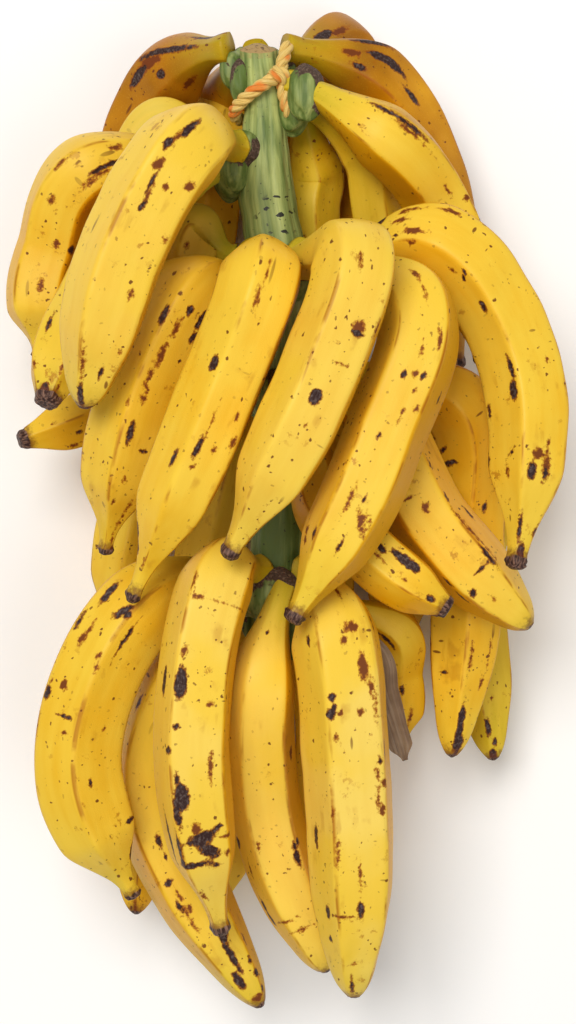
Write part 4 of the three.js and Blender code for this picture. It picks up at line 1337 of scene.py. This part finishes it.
    def _stains(self, points: Array, way: Array, run: Array, angle: Array, reach: Array) -> dict[str, Array]:
        """Distance in millimetres to the nearest scar of each kind, below 0 inside it.

        Args:
            points: the skin.
            way: directions out of the middle line.
            run: distance along the middle line.
            angle: angles round it.
            reach: distance from it.

        Returns:
            One layer for each kind of scar.
        """
        seen = self.layout.seen_at(points)
        turned_away = np.where(way[..., 2] > 0.05, 0, 1e3)
        layers = {stain.value: np.full(reach.shape, 12.0) for stain in Stain}
        for mark, shown in self._marks():
            if shown:
                miss = np.hypot(seen[..., 0] - mark.x, seen[..., 1] - mark.y) + turned_away
                row, column = np.unravel_index(int(miss.argmin()), miss.shape)
                if miss[row, column] > 14:
                    logging.info("%s: no skin at %.0f, %.0f", self.name, mark.x, mark.y)
                    continue
            else:
                row, column = int(mark.x * len(run)), int(mark.y / (2 * np.pi) * len(angle))
                if way[row, column, 2] > 0.25 and self.plan.in_view:
                    continue
            along = (run - run[row])[:, None]
            across = wrapped(angle - angle[column]) * reach
            tilt = math.radians(mark.turn)
            ahead = along * math.cos(tilt) + across * math.sin(tilt)
            aside = across * math.cos(tilt) - along * math.sin(tilt)
            spread = np.hypot(ahead / mark.along, aside / mark.across)
            distance = (spread - 1) * min(mark.along, mark.across)
            layer = layers[mark.stain.value]
            np.minimum(layer, distance, out=layer)
        return layers

    def build(self, material: bpy.types.Material) -> bpy.types.Object:
        """Makes the finger in place of its solid."""
        name = f"skin_{self.name}"
        return make_piece(name, [self.patch()], self.layout, material, "plantain_skin", self.name)


@dataclass
class Stalk:
    """The cut stalk with its growths and the cushions that the hands grow from."""

    layout: Layout
    rows: int = 220
    columns: int = 112
    slant: float = 5.0
    twist: float = 0.0012
    rib_depth: float = 0.026
    fine_ribs: int = 17
    fine_depth: float = 0.008
    cushion_rows: int = 110
    cushion_columns: int = 40
    cushion_seed: int = 20
    growth_rows: int = 40
    growth_columns: int = 48

    def stem(self) -> Patch:
        """Ribbed tube as a function of height and angle, with a slanted cut at the top.

        The radius is the ring radius times a wave with a crest on each rib, plus finer ribs and bumps.

        Returns:
            The stem's patch.
        """
        low, high = STALK[-1][1], STALK[0][1]
        inner = np.array([0.93, 0.6, 0.3])
        height = np.concatenate([np.full(3, low), np.linspace(low, high, self.rows), np.full(3, high)])
        inset = np.concatenate([inner[::-1], np.ones(self.rows), inner])
        centre, radius = stalk_at(np.convolve(np.pad(height, 4, mode="edge"), np.ones(9) / 9, "valid"))
        centre[:, 1] = height
        angle = turns(self.columns)
        way = outward(np.degrees(angle))
        twisted = angle[None] + (height[:, None] - high) * self.twist
        ribs = 0.962 + self.rib_depth * np.cos(STALK_RIBS * twisted)
        ribs += self.fine_depth * np.cos(self.fine_ribs * twisted + 1)
        reach = radius[:, None] * ribs * inset[:, None]
        points = centre[:, None] + reach[..., None] * way[None]
        points += (ripple(points, 26, 7) * 0.35)[..., None] * way[None] * inset[:, None, None]
        top = smoothstep(height, high - 30, high)[:, None]
        points[..., 1] -= top * self.slant * (1 + np.sin(angle)) * np.minimum(1, inset)[:, None]
        cut = np.zeros(reach.shape)
        cut[-3:] = 1
        cut[-6:-3] = 0.45
        shaded = 0.55 * (1 - smoothstep(height, -20, 130))[:, None]
        away = Layout.seen_at(points) - DASHES_AT
        dash = bell(away[..., 0], DASHES_SPREAD[0]) * bell(away[..., 1], DASHES_SPREAD[1])
        faint = 0.35 * bell(away[..., 1] + DASHES_AT[1] - FAINT_DASHES_AT, FAINT_DASHES_SPREAD)
        return Patch(points, {
            "straight": straightened(reach * np.cos(angle), reach * np.sin(angle), height),
            "cork": np.zeros(reach.shape),
            "shade": 0.15 * np.cos(STALK_RIBS * twisted + 2.4) + shaded,
            "cut": cut,
            "dash": np.maximum(dash, faint),
        })

    def cushion(self, hand: HandPlan, seed: int) -> Patch:
        """Lobed bar round the stalk behind a hand's necks, as a function of run and section angle.

        The section is an oval that swells at each neck, and corky bark lies along its outer upper edge.

        Args:
            hand: the hand that grows from it.
            seed: picks its bumps.

        Returns:
            The cushion's patch.
        """
        angles = np.array([plan.angle for plan in hand.fingers], float)
        angles = angles[0] + (angles - angles[0] + 180) % 360 - 180
        first, last = angles.min() - CUSHION_OVERHANG, angles.max() + CUSHION_OVERHANG
        share = (1 - np.cos(np.linspace(0.02, np.pi - 0.02, self.cushion_rows))) / 2
        degrees = first + share * (last - first)
        centre, radius = stalk_at(hand.height)
        way = outward(degrees)
        line = centre + way * (radius + CUSHION_OUT)
        line[:, 1] -= CUSHION_DROP
        near = bell(degrees[:, None] - angles, 8.5).sum(1)
        full = np.maximum(CUSHION_END, np.sin(np.pi * share) ** CUSHION_BLUNT)
        tucked = np.sqrt(np.clip(np.minimum(share, 1 - share) * 60, 0, 1))
        thick = CUSHION_RADIUS * full * (0.9 + 0.1 * np.minimum(near, 1)) * tucked
        angle = turns(self.cushion_columns)
        long = np.where(np.sin(angle) > 0, 1.3, CUSHION_LENGTH)
        points = (
            line[:, None]
            + (thick[:, None] * np.cos(angle))[..., None] * way[:, None]
            + (thick[:, None] * np.sin(angle) * long)[..., None] * np.array([0.0, 1.0, 0.0])
        )
        bulge = ripple(points, 17, seed) * 0.7
        points += bulge[..., None] * unit(points - line[:, None])
        cork = bell(wrapped(angle - 0.8), 0.8) * (0.85 + 0.3 * ripple(points, 22, seed + 1))
        layers = {
            "straight": points[..., [0, 2, 1]] / 1000,
            "cork": cork,
            "shade": np.full(cork.shape, 0.3),
            "cut": np.zeros(cork.shape),
            "dash": np.full(cork.shape, 0.2),
        }
        return Patch(points[:, ::-1], {key: value[:, ::-1] for key, value in layers.items()})

    def growth(self, plan: Growth) -> Patch:
        """Oval as a function of two angles, swollen unevenly, with a corky rim.

        Args:
            plan: its place, size and cork.

        Returns:
            The growth's patch.
        """
        turn = np.linspace(0.05, np.pi - 0.05, self.growth_rows)[:, None]
        angle = turns(self.growth_columns)[None]
        flat = np.sin(turn)
        ball = np.stack(np.broadcast_arrays(flat * np.cos(angle), np.cos(turn), flat * np.sin(angle)), -1)
        swell = (1 + 0.06 * ripple(ball * 9, 9, 3))[..., None]
        points = np.array(plan.centre) + ball * np.array(plan.half_size) * swell
        edge = np.hypot(ball[..., 0], ball[..., 1])
        rim = smoothstep(edge, plan.rim, plan.rim + 0.15)
        rim *= smoothstep(ball @ np.array(plan.cork_way), -0.3, 0.2)
        return Patch(points, {
            "straight": points[..., [0, 2, 1]] / 1000,
            "cork": 0.25 + 0.6 * rim,
            "shade": np.full(edge.shape, 0.35),
            "cut": plan.cut * (1 - smoothstep(edge, 0.3, 0.6)),
            "dash": np.zeros(edge.shape),
        })

    def build(self, material: bpy.types.Material) -> None:
        """Makes the stem with its growths, and each cushion, in place of the stalk's solid."""
        patches = [self.stem()] + [self.growth(plan) for plan in GROWTHS]
        make_piece("stalk_stem", patches, self.layout, material, "green_stalk", "stalk")
        for number, hand in enumerate(HANDS):
            patch = self.cushion(hand, self.cushion_seed + number)
            make_piece(f"cushion_{hand.name}", [patch], self.layout, material, "green_stalk", "stalk")


@dataclass
class Tie:
    """The twisted rope round the stalk, with its knot and short end."""

    layout: Layout
    strands: int = 3
    pitch: float = 21.0
    strand_radius: float = 2.35
    columns: int = 14
    loop_rows: int = 150
    end_rows: int = 30
    knot_rows: int = 110
    knot_turns: float = 1.8
    knot_radius: float = 4.3
    knot_rise: float = 7.0
    knot_share: float = 0.8

    def tube(self, line: Array, across: Array, side: Array, size: float, start: float) -> list[Patch]:
        """Rope as strands that wind round a line.

        A strand's middle goes round the line once in each pitch, and its skin is a circle round it.

        Args:
            line: the rope's middle.
            across: first direction across it.
            side: second direction across it.
            size: thickness as a share of the full rope.
            start: turn of the first strand in radians.

        Returns:
            One patch for each strand.
        """
        run = run_lengths(line)
        angle = turns(self.columns)
        radius = self.strand_radius * size
        offset = (ROPE_RADIUS - self.strand_radius) * size
        patches = []
        for k in range(self.strands):
            turn = (start + 2 * np.pi * (k / self.strands + run / (self.pitch * size)))[:, None]
            middle = line + offset * (np.cos(turn) * across + np.sin(turn) * side)
            first, second = frames_along(middle, 0, across[0])
            ends = np.sqrt(np.clip(np.minimum(run, run[-1] - run) / (1.2 * radius), 0.02, 1))
            points = middle[:, None] + (radius * ends)[:, None, None] * spokes(angle, first, second)
            straight = straightened(radius * np.cos(angle), radius * np.sin(angle), run)
            patches.append(Patch(points, {"straight": straight + np.array([k * 0.31, start * 0.17, 0])}))
        return patches

    @staticmethod
    def _round_stalk(degrees: Array | float, height: Array | float) -> Array:
        """Places of the rope's middle at angles and heights, just off the stalk."""
        centre, radius = stalk_at(height)
        return centre + outward(degrees) * np.asarray(radius + ROPE_RADIUS + ROPE_CLEARANCE)[..., None]

    def _knot(self, knot: Array, out: Array) -> list[Patch]:
        """Rope wound tightly where the loop closes: a circle round the knot that drifts upwards.

        Args:
            knot: the middle of the knot.
            out: direction out of the stalk there.

        Returns:
            One patch for each strand.
        """
        up = unit(np.array(ROPE_END) - knot)
        wide = np.cross(up, out)
        turn = np.linspace(0, self.knot_turns * 2 * np.pi, self.knot_rows)[:, None]
        rise = (turn / turn.max() - 0.5) * self.knot_rise * unit(up + 0.4 * wide)
        wound = knot + self.knot_radius * (np.cos(turn) * wide + np.sin(turn) * unit(out)) + rise
        return self.tube(wound, *frames_along(wound, 0, up), self.knot_share, 2.0)

    def build(self, material: bpy.types.Material) -> None:
        """Makes the loop, the knot and the standing end in place of the tie's solid."""
        line = spline(self._round_stalk(*np.array(TIE_ROUTE, float).T), self.loop_rows)
        loop = self.tube(line, *frames_out(line, self.loop_rows // 2), 1.0, 0.0)
        out = outward(float(KNOT_AT[0]))
        knot = self._round_stalk(float(KNOT_AT[0]), float(KNOT_AT[1]))
        end = np.linspace(knot, np.array(ROPE_END), self.end_rows)
        standing = self.tube(end, *frames_along(end, 0, out), 1.0, 1.0)
        patches = loop + standing + self._knot(knot, out)
        make_piece("tie_rope", patches, self.layout, material, "rope", "tie")


@dataclass
class Bract:
    """The dried bract, a curled strip of papery leaf."""

    layout: Layout
    rows: int = 90
    half_columns: int = 22
    thickness: float = 1.1
    curl: float = 0.5
    pleats: float = 11.0

    def patch(self) -> Patch:
        """Thin closed strip as a function of run and a turn round its section.

        Its width swells and narrows, its edges curl up by the square of the distance from the middle,
        and pleats run along it.

        Returns:
            The bract's patch.
        """
        place = np.linspace(0, 1, self.rows)
        line = self.layout.lines(curve_weights(place))[-1]
        start = int(self.rows * RING_PLACES[FACING_RING])
        across, side = frames_along(line, start, np.array([0.0, 0.0, 1.0]))
        run = run_lengths(line)
        swell = np.sin(np.pi * np.minimum(0.8, place))
        half = BRACT_PLAN.girth / 2 * (0.45 + 0.55 * swell) * (1 - 0.75 * smoothstep(place, 0.9, 1.0))
        turn = turns(2 * self.half_columns)
        wide = np.cos(turn)
        pleat = 0.5 * np.sin(wide * self.pleats + 1) + 0.7 * ripple(line, 16, 4)[:, None]
        rise = self.curl * half[:, None] * wide**2 + pleat - 1.2
        points = (
            line[:, None]
            + (half[:, None] * wide)[..., None] * side[:, None]
            + (rise + self.thickness * np.sin(turn))[..., None] * across[:, None]
        )
        straight = straightened(half[:, None] * wide, np.sin(turn), run)
        return Patch(points[:, ::-1], {"straight": straight[:, ::-1]})

    def build(self, material: bpy.types.Material) -> bpy.types.Object:
        """Makes the bract in place of its solid."""
        patches = [self.patch()]
        return make_piece("bract_strip", patches, self.layout, material, "dried_leaf", "dried_bract")


@dataclass
class Studio:
    """Floor, light and camera."""

    layout: Layout
    floor_half: float = 12.0
    floor_drop: float = 0.0005
    sky: float = 0.35
    sky_tint: Colour = (1.0, 0.995, 0.985)

    def floor(self, material: bpy.types.Material) -> None:
        """Lays a wide plain floor under the bunch."""
        h = self.floor_half
        mesh = bpy.data.meshes.new("floor")
        mesh.from_pydata([(-h, -h, 0), (h, -h, 0), (h, h, 0), (-h, h, 0)], [], [(0, 1, 2, 3)])
        mesh.materials.append(material)
        floor = bpy.data.objects.new("floor", mesh)
        floor.location.z = -self.floor_drop
        bpy.context.scene.collection.objects.link(floor)

    def hang(self, plan: Lamp) -> None:
        """Hangs one soft lamp that faces the bunch.

        Args:
            plan: the lamp.
        """
        light = bpy.data.lights.new(plan.name, "AREA")
        light.size = plan.size
        light.energy = plan.power
        light.color = plan.tint
        lamp = bpy.data.objects.new(plan.name, light)
        bpy.context.scene.collection.objects.link(lamp)
        way = unit(np.array(plan.place) - LAMPS_FACE)
        side = unit(np.cross([0.0, 1.0, 0.001], way))
        matrix = np.eye(4)
        matrix[:3] = np.stack([side, np.cross(way, side), way, plan.place], 1)
        lamp.matrix_world = matrix.T.tolist()

    def camera(self) -> None:
        """Sets the camera over the stalk, looking straight down, with the photograph's frame."""
        data = bpy.data.cameras.new("camera")
        data.sensor_width = SENSOR
        data.lens = SENSOR * CAMERA_RISE / (PHOTO_SCALE * PHOTO_SIZE[1])
        camera = bpy.data.objects.new("camera", data)
        camera.location = (self.layout.shift + np.array([0, 0, CAMERA_RISE])) / 1000
        bpy.context.scene.collection.objects.link(camera)
        bpy.context.scene.camera = camera

    def build(self, material: bpy.types.Material) -> None:
        """Sets up the whole studio."""
        scene = bpy.context.scene
        world = bpy.data.worlds.new("soft_sky")
        scene.world = world
        world.use_nodes = True
        background = world.node_tree.nodes["Background"]
        background.inputs["Color"].default_value = (*self.sky_tint, 1.0)
        background.inputs["Strength"].default_value = self.sky
        scene.view_settings.view_transform = "Standard"
        self.floor(material)
        for plan in LAMPS:
            self.hang(plan)
        self.camera()


def main() -> None:
    """Builds the bunch piece by piece and sets up the studio."""
    logging.basicConfig(level=logging.INFO, format="%(message)s")
    layout = Layout()
    Studio(layout).build(FloorFinish().material())
    Stalk(layout).build(StalkFinish().material())
    skin = SkinFinish().material()
    for index in range(len(layout.plans) - 1):
        Finger(layout, index).build(skin)
    Bract(layout).build(BractFinish().material())
    Tie(layout).build(RopeFinish().material())


if __name__ == "__main__":
    main()
